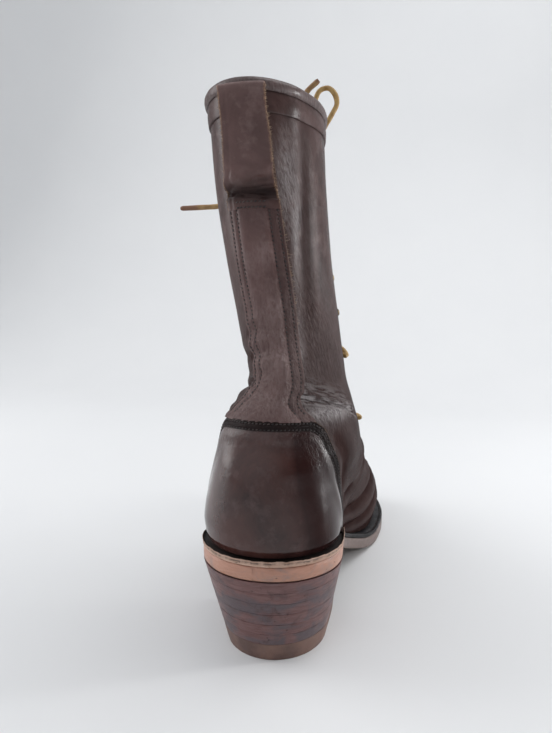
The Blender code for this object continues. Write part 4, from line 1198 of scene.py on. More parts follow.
def build_stitches(name, rows, sewn, finish, slot):
    """Thread along rows, each a line on the surface and the same line moved out from it."""
    rng = np.random.default_rng(SEED)
    turn = 2 * np.pi * np.arange(STITCH_SIDES) / STITCH_SIDES
    meshes, tones = [], []
    for line, above in rows:
        spots, heading = resample(line, sewn.pitch)
        knots = np.linspace(0, len(spots) - 1, len(line))
        tops = read_off(np.arange(len(spots)), knots, above - line)
        outward = unit(tops - heading * (tops * heading).sum(1, keepdims=True))
        sideways = np.cross(outward, heading)
        lean = rng.normal(STITCH_LEAN, STITCH_LEAN_SPREAD, len(spots))[:, None]
        run = unit(heading + sideways * lean)
        side = np.cross(outward, run)
        size = rng.normal(1.0, STITCH_SIZE_SPREAD, len(spots))[:, None]
        loops = []
        for place, fat, up in STITCH_SHAPE:
            centre = spots + run * (place * sewn.length / 2) * size + outward * (up * sewn.radius)
            ring = np.cos(turn)[:, None, None] * side + np.sin(turn)[:, None, None] * outward
            loops.append(centre + sewn.radius * fat * ring)
        block = np.transpose(loops, (2, 0, 1, 3))
        tone = rng.random(len(spots))
        for stitch, shade in zip(block, tone):
            meshes.append(sweep(stitch))
            tones.append(np.full(len(meshes[-1][0]), shade))
    points, faces = join(meshes)
    piece(name, points, faces, finish, slot, (), {"tone": np.concatenate(tones)})


def lines_on(angles, levels, out):
    """A row for stitches at a height over the leather."""
    rise = relief(last_point(angles, levels)) + out
    return skin(angles, levels, rise, worn=False), skin(angles, levels, rise + 1, worn=False)


def upper_rows():
    rows = []
    shares, tops = counter_edge(400)
    angles = wall_angle(shares, tops)
    for distance in COUNTER_ROWS:
        rows.append(lines_on(*inset(angles, tops, -distance), OVERLAY - SUNK_THREAD))
    heights = np.linspace(STAY_SEAM_LOW, STAY_SEAM_HIGH, 240)
    levels = back_level(heights)
    for distance in STAY_ROWS:
        for side, reach in ((1, "inner"), (-1, "outer")):
            across = side * (along(STAY, reach, heights, "z") - distance)
            rows.append(lines_on(back_angle(levels, across), levels, OVERLAY - SUNK_THREAD))
    for side in (1, -1):
        line = quarter_line(side, 200)
        for distance in QUARTER_ROWS:
            rows.append(lines_on(*inset(*line, -side * distance), QUARTER_THREAD_OUT))
        levels = np.linspace(THROAT + FACING_SEAM_LOW, TOP - FACING_SEAM_HIGH, 300)
        for setback in FACING_ROWS:
            angles = math.pi - side * front_angle(levels, facing_gap(levels) + setback)
            rows.append(lines_on(angles, levels, FACING_THREAD_OUT))
    return rows


def strap_rows():
    rows = []
    for z in STRAP_SEAM:
        across = np.linspace(-STRAP_SEAM_HALF, STRAP_SEAM_HALF, 60)
        levels = np.full(60, back_level(z))
        rows.append(lines_on(back_angle(levels, across), levels, STRAP_SEAM_OUT))
    return rows


def welt_row():
    end = rand_end() + 0.05
    angles = np.linspace(end, 2 * math.pi - end, 500)
    line = raised(sole_edge(angles, -WELT_SEAM_IN), OUTSOLE + GAP + WELT - WELT_SEAM_SUNK)
    return [(line, line + (0, 0, 1))]


# Lacing

LACE_LIFT, TUCK = 2.3, 4.3
CROSS_APART = 1.9
LACE_UNEVEN, LACE_LUMP, LACE_END = 0.10, 7.0, 0.75
# Half of the lace's turn round a hook: away from the throat, up and out from the leather
HOOK_TURN = [(-7.0, 4.6, 2.0), (-3.2, 4.6, 2.4), (-1.5, 2.2, 2.6)]
# Lace across the throat under the lowest eyelets: side, setback, height over the leather
BAR = [(-1, 5.0, -TUCK), (-1, 0.0, -TUCK), (1, 0.0, -TUCK), (1, 6.0, -TUCK)]


def facing_levels():
    """Section numbers of the lacing rows, evenly spaced along the facing."""
    levels = np.linspace(THROAT, TOP, 200)
    edge = last_point(math.pi - front_angle(levels, facing_gap(levels)), levels)
    length = run_lengths(edge)
    rows = np.linspace(FIRST_ROW, length[-1] - LAST_ROW, EYELET_ROWS + HOOK_ROWS)
    return np.interp(rows, length, levels)


def facing_point(side, level, setback, out):
    angle = math.pi - side * front_angle(level, facing_gap(level) + setback)
    return skin(angle, level, out, worn=False)


def facing_frame(side, level, out):
    """Place on the facing, its normal, the way from the throat, and the way up."""
    place = facing_point(side, level, EYELET_SETBACK, out)
    normal = unit(facing_point(side, level, EYELET_SETBACK, out + 1) - place)
    away = facing_point(side, level, EYELET_SETBACK + 1, out) - place
    away = unit(away - normal * np.dot(away, normal))
    up = np.cross(normal, away) * side
    return place, normal, away, up if up[2] > 0 else -up


def smooth_route(points, step):
    """Points at even steps along a smooth curve through a route's own points."""
    points = np.array(points, float)
    lengths = run_lengths(points)
    at = np.linspace(0, lengths[-1], round(lengths[-1] / step) + 1)
    tangents = np.gradient(points, lengths, axis=0)
    i = np.clip(np.searchsorted(lengths, at, side="right") - 1, 0, len(points) - 2)
    run = (lengths[i + 1] - lengths[i])[:, None]
    u = (at - lengths[i])[:, None] / run
    start = (1 + 2 * u) * (1 - u) ** 2 * points[i] + u * (1 - u) ** 2 * run * tangents[i]
    end = u * u * (3 - 2 * u) * points[i + 1] + u * u * (u - 1) * run * tangents[i + 1]
    return start + end


def tube(path, radius, sides=12):
    """Round cord along a path, a little uneven as cut rawhide is."""
    heading = unit(np.gradient(path, axis=0))
    turn = 2 * np.pi * np.arange(sides) / sides
    normal = np.cross(heading[0], (0.3, 0.5, 0.8))
    loops = []
    for spot, way in zip(path, heading):
        normal = unit(normal - way * np.dot(normal, way))
        fat = radius * (1 + LACE_UNEVEN * noise.fractal(Vector(spot) / LACE_LUMP, 1.0, 2.0, 2))
        ring = np.cos(turn)[:, None] * normal + np.sin(turn)[:, None] * np.cross(way, normal)
        loops.append(spot + fat * ring)
    loops[0] = path[0] + LACE_END * (loops[0] - path[0])
    loops[-1] = path[-1] + LACE_END * (loops[-1] - path[-1])
    return sweep(loops)


def join(meshes):
    """One mesh out of several."""
    points, faces, base = [], [], 0
    for made, cells in meshes:
        points.append(made)
        faces += [tuple(base + v for v in cell) for cell in cells]
        base += len(made)
    return np.concatenate(points), faces


# Slack of the lace where it leaves an inner eyelet, by row: setback and height of the bight,
# and how many sections it hangs down
Slack = namedtuple("Slack", "setback out drop")
LACE_SLACK = {1: Slack(17.0, 7.0, 0.0), 4: Slack(12.5, 5.5, 0.24)}


def eyelet_leaves(side, level, slack):
    """Lace from under a facing, out of its eyelet and to the facing's edge."""
    spots = [(9.0, -3.6, 0), (9.0, -0.4, 0), (8.4, 1.9, 0), (6.0, LACE_LIFT, 0), (2.5, LACE_LIFT, 0)]
    if slack:
        bight = [
            (0.5 * (9.0 + slack.setback), 0.6 * slack.out, -0.8 * slack.drop),
            (slack.setback, slack.out, -slack.drop),
            (slack.setback - 4.5, slack.out + 1.0, -0.4 * slack.drop),
        ]
        spots[2:3] = bight
    return [facing_point(side, level + down, setback, out) for setback, out, down in spots]


def eyelet_enters(side, level):
    """Lace under a facing's edge, to its eyelet."""
    return [facing_point(side, level, setback, -TUCK) for setback in (1.0, 4.5, 7.5)]


def hook_turn(side, level):
    """Lace round a speed hook, from the throat and back."""
    base, normal, away, up = facing_frame(side, level, FITTING_SEAT)
    lower = [(a, -u, n) for a, u, n in HOOK_TURN]
    return [base + away * a + up * u + normal * n for a, u, n in lower + HOOK_TURN[::-1]]


def crossing(side, low, high, over, start_out, end_out):
    """Middle of a lace's way over the throat, above or below the other lace."""
    points = []
    for share in (0.35, 0.5, 0.65):
        level = low + (high - low) * share
        reach = front_angle(level, facing_gap(level))
        angle = math.pi - side * reach * (1 - 2 * share)
        lift = start_out + (end_out - start_out) * share + over * CROSS_APART
        points.append(skin(angle, level, lift, worn=False))
    return points


def lace_run(side, levels, over):
    """One half of the lacing, from the lowest eyelet to the knot."""
    points = []
    for k, level in enumerate(levels):
        hooked = k >= EYELET_ROWS
        slack = LACE_SLACK.get(k) if side > 0 else None
        points += hook_turn(side, level) if hooked else eyelet_leaves(side, level, slack)
        if k + 1 < len(levels):
            dives = k + 1 < EYELET_ROWS
            points += crossing(side, level, levels[k + 1], over, LACE_LIFT, -TUCK if dives else LACE_LIFT)
            points += eyelet_enters(-side, levels[k + 1]) if dives else []
            side, over = -side, -over
    return points + knot_exit(np.array(RUN_LEAVES) * (side, 1, 1))[::-1]


def knot_exit(leaves):
    """Two points on the way out of the knot: clear of its surface, and a stem's length further out."""
    normal = unit(np.array(leaves))
    surface = KNOT + KNOT_HALF**2 * normal / np.linalg.norm(KNOT_HALF * normal)
    return [surface + normal * GAP, surface + normal * (GAP + KNOT_STEM)]


# Free lace: the knot, and the routes that leave it.
# leaves: way out of the knot. points: the free stretch. returns: way back into the knot, on a loop.
KNOT = np.array((-4.5, 128.5, 294.0))
KNOT_HALF = np.array((6.5, 4.5, 5.0))
KNOT_STEM = 3.0
RUN_LEAVES = (0.50, 0.0, -0.87)
Route = namedtuple("Route", "leaves points returns")
ROUTES = {
    "lace_loop_right": Route(
        (0.45, 0.35, 0.82),
        [
            (4.5, 137.0, 309.0), (6.5, 138.5, 326.0), (8.1, 137.0, 340.0), (12.0, 136.0, 347.0),
            (17.5, 136.0, 348.0), (22.5, 136.0, 343.0), (23.6, 136.0, 337.0), (20.5, 136.5, 331.0),
            (13.5, 138.0, 320.0), (9.0, 137.5, 306.0),
        ],
        (0.90, 0.43, 0.0),
    ),
    "lace_loop_left": Route(
        (-0.60, 0.75, -0.28),
        [
            (-16.0, 141.0, 288.0), (-24.0, 147.0, 275.0), (-26.0, 149.0, 258.0), (-20.0, 150.0, 246.0),
            (-12.5, 150.0, 250.0), (-8.0, 148.5, 264.0), (-5.5, 144.5, 278.0),
        ],
        (0.15, 0.85, -0.50),
    ),
    "lace_end_right": Route(
        (-0.30, 0.20, 0.93),
        [(-5.5, 132.5, 312.0), (-1.5, 133.0, 330.0), (3.0, 132.0, 345.0), (11.5, 132.0, 352.3)],
        None,
    ),
    "lace_end_left": Route(
        (-0.90, -0.30, 0.30),
        [
            (-24.0, 131.0, 287.5), (-40.0, 134.5, 275.5), (-60.7, 131.0, 270.2), (-75.6, 130.0, 269.6),
            (-90.5, 130.0, 269.4),
        ],
        None,
    ),
}
FREE_STEP, RUN_STEP = 1.6, 1.2
KNOT_COILS = np.array((4.5, 2.6, 3.1))
TIP_LENGTH = 42


def build_lacing(finish):
    levels = facing_levels()
    bar = [facing_point(side, levels[0], setback, out) for side, setback, out in BAR]
    routes = bar + lace_run(1, levels, 1), lace_run(-1, levels, -1)
    points, faces = join([tube(smooth_route(route, RUN_STEP), LACE_RADIUS, 10) for route in routes])
    piece("lace_crossings", points, faces, finish, "rawhide", ["lace"], {"tip": np.zeros(len(points))})


def build_bow(finish):
    t = np.linspace(0, 2 * np.pi, 120)
    coils = np.stack([np.sin(2 * t), np.sin(3 * t + 0.6), np.cos(3 * t)], -1)
    points, faces = tube(KNOT + KNOT_COILS * coils, LACE_RADIUS, 10)
    marks = {"tip": np.zeros(len(points))}
    knot = piece("lace_knot_tied", points, faces, finish, "rawhide", ["lace_knot"], marks)
    for name, route in ROUTES.items():
        back = knot_exit(route.returns)[::-1] if route.returns else []
        path = smooth_route(knot_exit(route.leaves) + route.points + back, FREE_STEP)
        points, faces = tube(path, LACE_RADIUS)
        from_end = np.linalg.norm(points - path[-1], axis=1)
        tip = 0 * from_end if back else ease(1 - from_end / TIP_LENGTH)
        cord = piece(f"{name}_cord", points, faces, finish, "rawhide", [name], {"tip": tip})
        line = world(path)
        float(np.linalg.norm(np.diff(line, axis=0), axis=1).sum())


# Eyelets and speed hooks

# Section of an eyelet's ring: distance from its middle, height over the leather
EYELET = table(
    "radius out",
    (2.25, -0.8), (2.15, 0.2), (2.45, 1.0), (3.1, 1.35), (3.75, 1.0), (4.0, 0.35), (3.95, -0.2),
)
RIVET = table(
    "radius out",
    (0.05, 1.25), (0.8, 1.15), (1.5, 0.85), (1.9, 0.35), (1.95, -0.1), (0.05, -0.1),
)
# Speed hook: points along its strip as away from the throat and out from the leather, and its half width
HOOK = table(
    "away out half",
    (4.4, 0.0, 1.2), (3.8, 0.0, 2.3), (2.0, 0.0, 3.1), (0.0, 0.0, 2.8), (-2.6, 0.2, 2.2),
    (-3.9, 1.5, 2.1), (-4.0, 3.2, 2.2), (-2.8, 4.7, 2.5), (-0.4, 5.3, 2.8), (1.6, 5.7, 2.3),
    (2.2, 5.85, 1.2),
)
HOOK_THICK, RIVET_BACK = 1.1, 1.4


def turned(centre, normal, away, profile, steps=30):
    """Ring or dome turned about the normal of the leather."""
    side = np.cross(normal, away)
    loops = []
    for turn in np.linspace(0, 2 * np.pi, steps + 1):
        way = np.cos(turn) * away + np.sin(turn) * side
        loops.append([centre + row.radius * way + row.out * normal for row in profile])
    points, faces = sweep(loops)
    return points, faces[:-2]


def hook_mesh(base, normal, away, up):
    rows = np.array(HOOK)
    length = np.concatenate([[0], np.cumsum(np.hypot(*np.diff(rows[:, :2], axis=0).T))])
    at = np.linspace(0, length[-1], 44)
    a, out, half = (glide(length, rows[:, c], at) for c in range(3))
    heading = unit(np.gradient(np.stack([a, out], -1), axis=0))
    side = np.stack([-heading[:, 1], heading[:, 0]], -1)
    ring = 2 * np.pi * (np.arange(12) + 0.5) / 12
    wide = np.sign(np.cos(ring)) * np.abs(np.cos(ring)) ** 0.5
    thick = np.sign(np.sin(ring)) * np.abs(np.sin(ring)) ** 0.5 * HOOK_THICK / 2
    loops = []
    for k in range(len(at)):
        middle = base + (a[k] + thick * side[k, 0])[:, None] * away
        middle = middle + (out[k] + thick * side[k, 1])[:, None] * normal
        loops.append(middle + (wide * half[k])[:, None] * up)
    return sweep(loops)


def build_fittings(finish):
    for k, level in enumerate(facing_levels()):
        for side, word in ((-1, "outer"), (1, "inner")):
            base, normal, away, up = facing_frame(side, level, FITTING_SEAT)
            if k < EYELET_ROWS:
                node = f"eyelet_{word}_{k + 1}"
                made = turned(base, normal, away, EYELET)
            else:
                node = f"hook_{word}_{k + 1 - EYELET_ROWS}"
                foot = base + normal * HOOK_THICK / 2
                rivet = turned(base + away * RIVET_BACK + normal * HOOK_THICK / 2, normal, away, RIVET, 18)
                made = join([hook_mesh(foot, normal, away, up), rivet])
            piece(f"{node}_brass", *made, finish, "eyelet_brass", [node], sharp=40)


# Materials


class Shader:
    """Short calls that build one material's nodes."""

    def __init__(self, name):
        self.material = bpy.data.materials.new(name)
        self.material.use_nodes = True
        self.tree = self.material.node_tree
        self.shader = self.tree.nodes["Principled BSDF"]
        self.place = self.tree.nodes.new("ShaderNodeTexCoord").outputs["Object"]

    def add(self, kind, inputs, output, **settings):
        node = self.tree.nodes.new(kind)
        for key, value in settings.items():
            setattr(node, key, value)
        for key, value in inputs.items():
            self.put(node.inputs[key], value)
        return node.outputs[output]

    def put(self, socket, value):
        if isinstance(value, bpy.types.NodeSocket):
            self.tree.links.new(value, socket)
        else:
            socket.default_value = value

    def stretched(self, scale, turn=(0, 0, 0)):
        inputs = {"Vector": self.place, "Rotation": [math.radians(a) for a in turn]}
        turned_place = self.add("ShaderNodeMapping", inputs, "Vector")
        return self.add("ShaderNodeMapping", {"Vector": turned_place, "Scale": scale}, "Vector")

    def noise(self, size_mm, detail=4.0, rough=0.55, at=None, warp=0.0):
        inputs = {
            "Vector": at or self.place,
            "Scale": 1 / (size_mm * MM),
            "Detail": detail,
            "Roughness": rough,
            "Distortion": warp,
        }
        return self.add("ShaderNodeTexNoise", inputs, "Fac")

    def cells(self, size_mm, feature="DISTANCE_TO_EDGE", at=None):
        inputs = {"Vector": at or self.place, "Scale": 1 / (size_mm * MM)}
        return self.add("ShaderNodeTexVoronoi", inputs, "Distance", feature=feature)

    def mark(self, name):
        return self.add("ShaderNodeAttribute", {}, "Fac", attribute_name=name)

    def spread(self, value, low, high, to_low=0.0, to_high=1.0):
        inputs = {"Value": value, "From Min": low, "From Max": high, "To Min": to_low, "To Max": to_high}
        return self.add("ShaderNodeMapRange", inputs, "Result", clamp=True)

    def sum(self, a, b):
        return self.add("ShaderNodeMath", {0: a, 1: b}, 0, operation="ADD")

    def times(self, a, b):
        return self.add("ShaderNodeMath", {0: a, 1: b}, 0, operation="MULTIPLY")

    def mix(self, share, a, b):
        inputs = {0: share, 6: self.colour(a), 7: self.colour(b)}
        return self.add("ShaderNodeMix", inputs, 2, data_type="RGBA")

    def colour(self, value):
        return value if isinstance(value, bpy.types.NodeSocket) else (*value, 1.0)

    def bump(self, height, depth_mm, strength=1.0, under=None):
        inputs = {"Height": height, "Distance": depth_mm * MM, "Strength": strength}
        if under is not None:
            inputs["Normal"] = under
        return self.add("ShaderNodeBump", inputs, "Normal")

    def finish(self, **sockets):
        for key, value in sockets.items():
            name = key.replace("_", " ")
            self.put(self.shader.inputs[name], self.colour(value) if name == "Base Color" else value)
        return self.material


# Leather colours: deep, middle, rubbed, worn pale, used for painted sheen and glints and for the paler
# binding, and raw edge
Tones = namedtuple("Tones", "deep middle rubbed worn raw")
SHAFT_TONES = Tones(
    deep=(0.024, 0.012, 0.011),
    middle=(0.088, 0.051, 0.047),
    rubbed=(0.145, 0.100, 0.095),
    worn=(0.400, 0.370, 0.370),
    raw=(0.200, 0.125, 0.080),
)
STAY_TONES = Tones(
    deep=(0.060, 0.031, 0.029),
    middle=(0.134, 0.078, 0.073),
    rubbed=(0.210, 0.146, 0.138),
    worn=(0.300, 0.215, 0.205),
    raw=(0.340, 0.220, 0.145),
)
STRAP_TONES = Tones(
    deep=(0.058, 0.031, 0.028),
    middle=(0.134, 0.079, 0.074),
    rubbed=(0.205, 0.142, 0.134),
    worn=(0.280, 0.200, 0.190),
    raw=(0.360, 0.230, 0.150),
)
COUNTER_TONES = Tones(
    deep=(0.015, 0.006, 0.006),
    middle=(0.062, 0.025, 0.021),
    rubbed=(0.095, 0.056, 0.054),
    worn=(0.200, 0.140, 0.130),
    raw=(0.340, 0.210, 0.120),
)
SEAM_DARK = (0.009, 0.006, 0.006)
# Leathers: tones, strength of their unevenness, roughness, weight and index of the wax coat,
# and the share of it that dark spots keep
Finish = namedtuple("Finish", "tones uneven rough coat coat_index dark_gloss")
LEATHERS = {
    "shaft": Finish(SHAFT_TONES, 0.30, 0.20, 0.36, 1.7, 0.48),
    "stay": Finish(STAY_TONES, 0.35, 0.20, 0.36, 1.6, 1.0),
    "counter": Finish(COUNTER_TONES, 0.10, 0.04, 0.95, 1.5, 1.0),
    "strap": Finish(STRAP_TONES, 0.35, 0.20, 0.36, 1.6, 1.0),
}


def leather(name):
    """Waxed and worn leather: mottled colours, raw edges, grain, pores, wrinkles and crimps, painted shade in
    troughs and low, tucked places, and painted sheen and glints on bulges, ridges, wrinkles and crimps.
    """
    tones, uneven, rough, coat, coat_index, dark_gloss = LEATHERS[name]
    s = Shader(name)
    cloud = s.noise(34, 5, 0.6, warp=0.6)
    patch = s.noise(11, 6, 0.65)
    speck = s.noise(2.2, 4, 0.7)
    lines = s.noise(3.0, 5, 0.62, at=s.stretched((2.2, 2.2, 0.30), (-27, 0, 0)), warp=0.5)
    folds = s.noise(2.3, 2, 0.5, at=s.stretched((0.24, 0.24, 1.5), (16, 0, 0)), warp=0.4)
    wrinkles = s.times(s.mark("wrinkles"), s.spread(lines, 0.35, 0.65))
    crimp = s.times(s.mark("crimp"), s.spread(folds, 0.42, 0.60))
    base = s.mix(s.spread(cloud, 0.32, 0.64, 0.15, 1.0), tones.deep, tones.middle)
    base = s.mix(s.times(s.spread(patch, 0.52, 0.72), 0.6), base, tones.rubbed)
    base = s.mix(s.spread(speck, 0.60, 0.75, 0, 0.35), base, tones.deep)
    # Painted shade: colour darkened towards the deep tone in crease troughs and where the dark mark lies
    base = s.mix(s.spread(s.sum(s.mark("painted_shade"), s.mark("dark")), 0.0, 1.0, 0, 0.8), base, tones.deep)
    # Painted glints: lighter streaks along the fine wrinkles
    base = s.mix(s.times(wrinkles, 0.35), base, tones.rubbed)
    # Painted glints on the fine folds of the crimps
    base = s.mix(s.times(crimp, 0.70), base, tones.worn)
    # Painted sheen: the worn mark pales bulges and ridges of the upper and the strap's top fold; on the
    # binding it gives an even paler tone
    base = s.mix(s.times(s.mark("worn"), s.spread(lines, 0.32, 0.62, 0.15, 0.85)), base, tones.worn)
    # Dark seam bands and lines; on the strap, painted shade in its pressed folds
    base = s.mix(s.times(s.mark("seam"), s.spread(patch, 0.3, 0.6, 0.7, 0.95)), base, SEAM_DARK)
    fuzz = s.noise(0.9, 3, 0.8)
    raw = s.times(s.mark("raw"), s.spread(fuzz, 0.38, 0.58, 0.0, 1.0))
    raw = s.times(raw, s.spread(s.noise(5, 3, 0.6), 0.36, 0.58, 0.35, 1.0))
    base = s.mix(raw, base, tones.raw)
    lining = s.mix(s.spread(cloud, 0.4, 0.6), (0.150, 0.095, 0.060), (0.225, 0.150, 0.098))
    base = s.mix(s.mark("inside"), base, lining)
    soft = s.bump(patch, 0.8, uneven)
    soft = s.bump(wrinkles, 0.5, 0.9, soft)
    soft = s.bump(crimp, 1.3, 1.0, soft)
    normal = s.bump(s.spread(s.cells(1.15), 0.0, 0.25), 0.04, 0.7, soft)
    normal = s.bump(s.noise(0.55, 3, 0.6), 0.05, 0.6, normal)
    normal = s.bump(s.times(s.mark("raw"), fuzz), 0.5, 0.9, normal)
    pores = s.bump(s.spread(s.cells(1.15), 0.0, 0.25), 0.01, 0.5, soft)
    dull = s.sum(s.spread(patch, 0.35, 0.7, rough, rough + 0.14), s.times(s.mark("raw"), 0.35))
    dull = s.sum(dull, s.times(s.mark("inside"), 0.3))
    gloss = s.spread(s.sum(s.mark("inside"), s.mark("raw")), 0.0, 1.0, coat, 0.05)
    gloss = s.times(gloss, s.spread(s.mark("dark"), 0.0, 1.0, 1.0, dark_gloss))
    return s.finish(
        Base_Color=base,
        Roughness=dull,
        Normal=normal,
        Specular_IOR_Level=0.0,
        Coat_Weight=s.times(gloss, s.spread(s.sum(s.mark("painted_shade"), s.mark("seam")), 0.0, 1.0, 1.0, 0.2)),
        Coat_Roughness=rough + 0.06,
        Coat_Normal=pores,
        Coat_IOR=coat_index,
    )


def cut_leather(name, colours, blotch, rough, streak=(1, 1, 6)):
    """Edges of sole, rand and heel: streaks along the layers, blotches of dye, pits."""
    s = Shader(name)
    low, high = colours
    lines = s.noise(9, 6, 0.68, at=s.stretched(streak), warp=0.3)
    stain = s.noise(16, 5, 0.6, at=s.stretched((1, 1, 1.8)), warp=0.8)
    tone = s.mark("tone")
    base = s.mix(s.spread(lines, 0.34, 0.66), low, high)
    base = s.mix(s.spread(s.sum(stain, s.times(tone, 0.12)), 0.50, 0.66, 0, 0.85), base, blotch[0])
    base = s.mix(s.spread(s.noise(10, 5, 0.62, warp=0.7), 0.55, 0.68, 0, 0.8), base, blotch[1])
    pits = s.noise(2.6, 3, 0.6, at=s.stretched((1, 1, 1.4)))
    base = s.mix(s.spread(pits, 0.66, 0.74, 0, 0.8), base, [0.25 * c for c in low])
    base = s.mix(s.spread(s.noise(0.8, 2, 0.7), 0.45, 0.75, 0, 0.25), base, high)
    normal = s.bump(lines, 0.5, 0.6)
    normal = s.bump(s.spread(pits, 0.66, 0.74, 1, 0), 0.4, 0.9, normal)
    normal = s.bump(s.noise(0.5, 3, 0.7), 0.08, 0.7, normal)
    return s, base, normal, s.spread(stain, 0.3, 0.7, rough - 0.08, rough + 0.1)


def stack_leather():
    blotch = (0.092, 0.078, 0.088), (0.072, 0.040, 0.041)
    s, base, normal, dull = cut_leather("stack", ((0.120, 0.056, 0.054), (0.185, 0.102, 0.098)), blotch, 0.40)
    return s.finish(Base_Color=base, Roughness=dull, Normal=normal, Specular_IOR_Level=0.3)


def sole_leather():
    blotch = (0.270, 0.190, 0.170), (0.400, 0.190, 0.120)
    s, base, normal, dull = cut_leather("sole", ((0.390, 0.195, 0.135), (0.470, 0.250, 0.180)), blotch, 0.42)
    grey = s.mix(s.noise(7, 5, 0.6), (0.085, 0.057, 0.050), (0.190, 0.134, 0.118))
    base = s.mix(s.mark("fore"), base, grey)
    worn = s.mix(s.noise(14, 6, 0.7), (0.070, 0.045, 0.035), (0.210, 0.135, 0.090))
    base = s.mix(s.mark("under"), base, worn)
    return s.finish(Base_Color=base, Roughness=dull, Normal=normal)


def rand_leather():
    blotch = (0.430, 0.290, 0.220), (0.320, 0.175, 0.120)
    s, base, normal, dull = cut_leather("rand", ((0.400, 0.235, 0.165), (0.580, 0.410, 0.320)), blotch, 0.62)
    dashes = s.spread(s.noise(2.4, 2, 0.5), 0.42, 0.5, 0.4, 1.0)
    base = s.mix(s.times(s.mark("seam"), dashes), base, (0.060, 0.035, 0.026))
    # Painted shade behind the lip, in the gap under the counter
    base = s.mix(s.mark("behind"), base, (0.020, 0.013, 0.011))
    normal = s.bump(s.times(s.mark("raw"), s.noise(0.7, 4, 0.8)), 0.7, 1.0, normal)
    return s.finish(Base_Color=base, Roughness=dull, Normal=normal)


def insole_leather():
    blotch = (0.110, 0.070, 0.048), (0.080, 0.046, 0.030)
    colours = (0.130, 0.085, 0.055), (0.215, 0.145, 0.095)
    s, base, normal, dull = cut_leather("insole", colours, blotch, 0.55)
    return s.finish(Base_Color=base, Roughness=dull, Normal=normal)


def welt_leather():
    s = Shader("welt")
    base = s.mix(s.spread(s.noise(8, 5, 0.6), 0.35, 0.65), (0.008, 0.008, 0.009), (0.022, 0.020, 0.021))
    normal = s.bump(s.noise(1.2, 4, 0.65), 0.15, 0.6)
    dull = s.spread(s.noise(5), 0.3, 0.7, 0.34, 0.55)
    return s.finish(Base_Color=base, Roughness=dull, Normal=normal, Specular_IOR_Level=0.1)


def cap_rubber():
    s = Shader("cap")
    base = s.mix(s.spread(s.noise(18, 6, 0.62), 0.38, 0.62), (0.105, 0.060, 0.050), (0.180, 0.102, 0.080))
    base = s.mix(s.spread(s.noise(1.0, 3, 0.7), 0.62, 0.75, 0, 0.5), base, (0.055, 0.032, 0.028))
    normal = s.bump(s.noise(1.6, 4, 0.6, at=s.stretched((1, 1, 3))), 0.2, 0.6)
    return s.finish(Base_Color=base, Roughness=s.spread(s.noise(6), 0.3, 0.7, 0.5, 0.68), Normal=normal)


def rawhide():
    s = Shader("rawhide")
    base = s.mix(s.spread(s.noise(5, 5, 0.6), 0.36, 0.64), (0.300, 0.170, 0.050), (0.480, 0.315, 0.120))
    stain = s.times(s.mark("tip"), s.spread(s.noise(9), 0.4, 0.55, 0.5, 1.0))
    base = s.mix(stain, base, (0.180, 0.080, 0.045))
    normal = s.bump(s.noise(1.1, 4, 0.7), 0.25, 0.7)
    return s.finish(Base_Color=base, Roughness=s.spread(s.noise(3), 0.3, 0.7, 0.45, 0.65), Normal=normal)


def brass():
    s = Shader("brass")
    base = s.mix(s.spread(s.noise(1.5, 5, 0.6), 0.35, 0.65), (0.055, 0.045, 0.034), (0.190, 0.145, 0.085))
    normal = s.bump(s.noise(0.6, 3, 0.6), 0.04, 0.5)
    return s.finish(
        Base_Color=base, Metallic=1.0, Roughness=s.spread(s.noise(2), 0.3, 0.7, 0.28, 0.5), Normal=normal
    )


def thread(name, dark, light):
    s = Shader(name)
    base = s.mix(s.spread(s.sum(s.mark("tone"), s.noise(0.8)), 0.5, 1.5), dark, light)
    twist = s.noise(0.35, 2, 0.5, at=s.stretched((1, 1, 1), (35, 35, 0)))
    dull = s.spread(twist, 0.3, 0.7, 0.45, 0.7)
    return s.finish(Base_Color=base, Roughness=dull, Normal=s.bump(twist, 0.12, 0.8))


def fibre():
    s = Shader("fibre")
    base = s.mix(s.noise(1.4), (0.190, 0.125, 0.085), (0.430, 0.305, 0.205))
    return s.finish(Base_Color=base, Roughness=0.8)


def floor_paint():
    s = Shader("floor")
    base = s.mix(s.noise(120, 3, 0.5), (0.715, 0.722, 0.732), (0.745, 0.750, 0.755))
    dull = s.spread(s.noise(60), 0.3, 0.7, 0.5, 0.6)
    return s.finish(Base_Color=base, Roughness=dull, Normal=s.bump(s.noise(2), 0.02, 0.3))


# Stage, lights and camera

FLOOR_HALF, FLOOR_BACK, FLOOR_FRONT, SWEEP_RADIUS, SWEEP_HIGH = 8.0, 0.75, 3.0, 0.7, 3.0
# Soft boxes: place and target in metres in the frame, size, power in watts
Lamp = namedtuple("Lamp", "place target wide tall power")
LAMPS = {
    "left": Lamp((-1.25, 0.10, 0.65), (0.0, 0.0, 0.15), 0.8, 1.3, 9),
    "top": Lamp((0.65, 0.40, 1.7), (0.0, 0.10, 0.1), 1.3, 1.3, 13),
    "right": Lamp((0.93, 0.36, 0.26), (0.0, 0.02, 0.18), 0.12, 0.50, 5.0),
    "backdrop": Lamp((0.0, -0.1, 2.2), (0.0, 1.4, 0.9), 2.2, 0.6, 0.5),
}
# Room light: colour, way to its bright side, strength on the dark and on the bright side
ROOM, ROOM_BRIGHT = (0.95, 0.97, 1.0), (-0.62, -0.50, 0.60)
ROOM_LOW, ROOM_HIGH = 0.03, 0.85


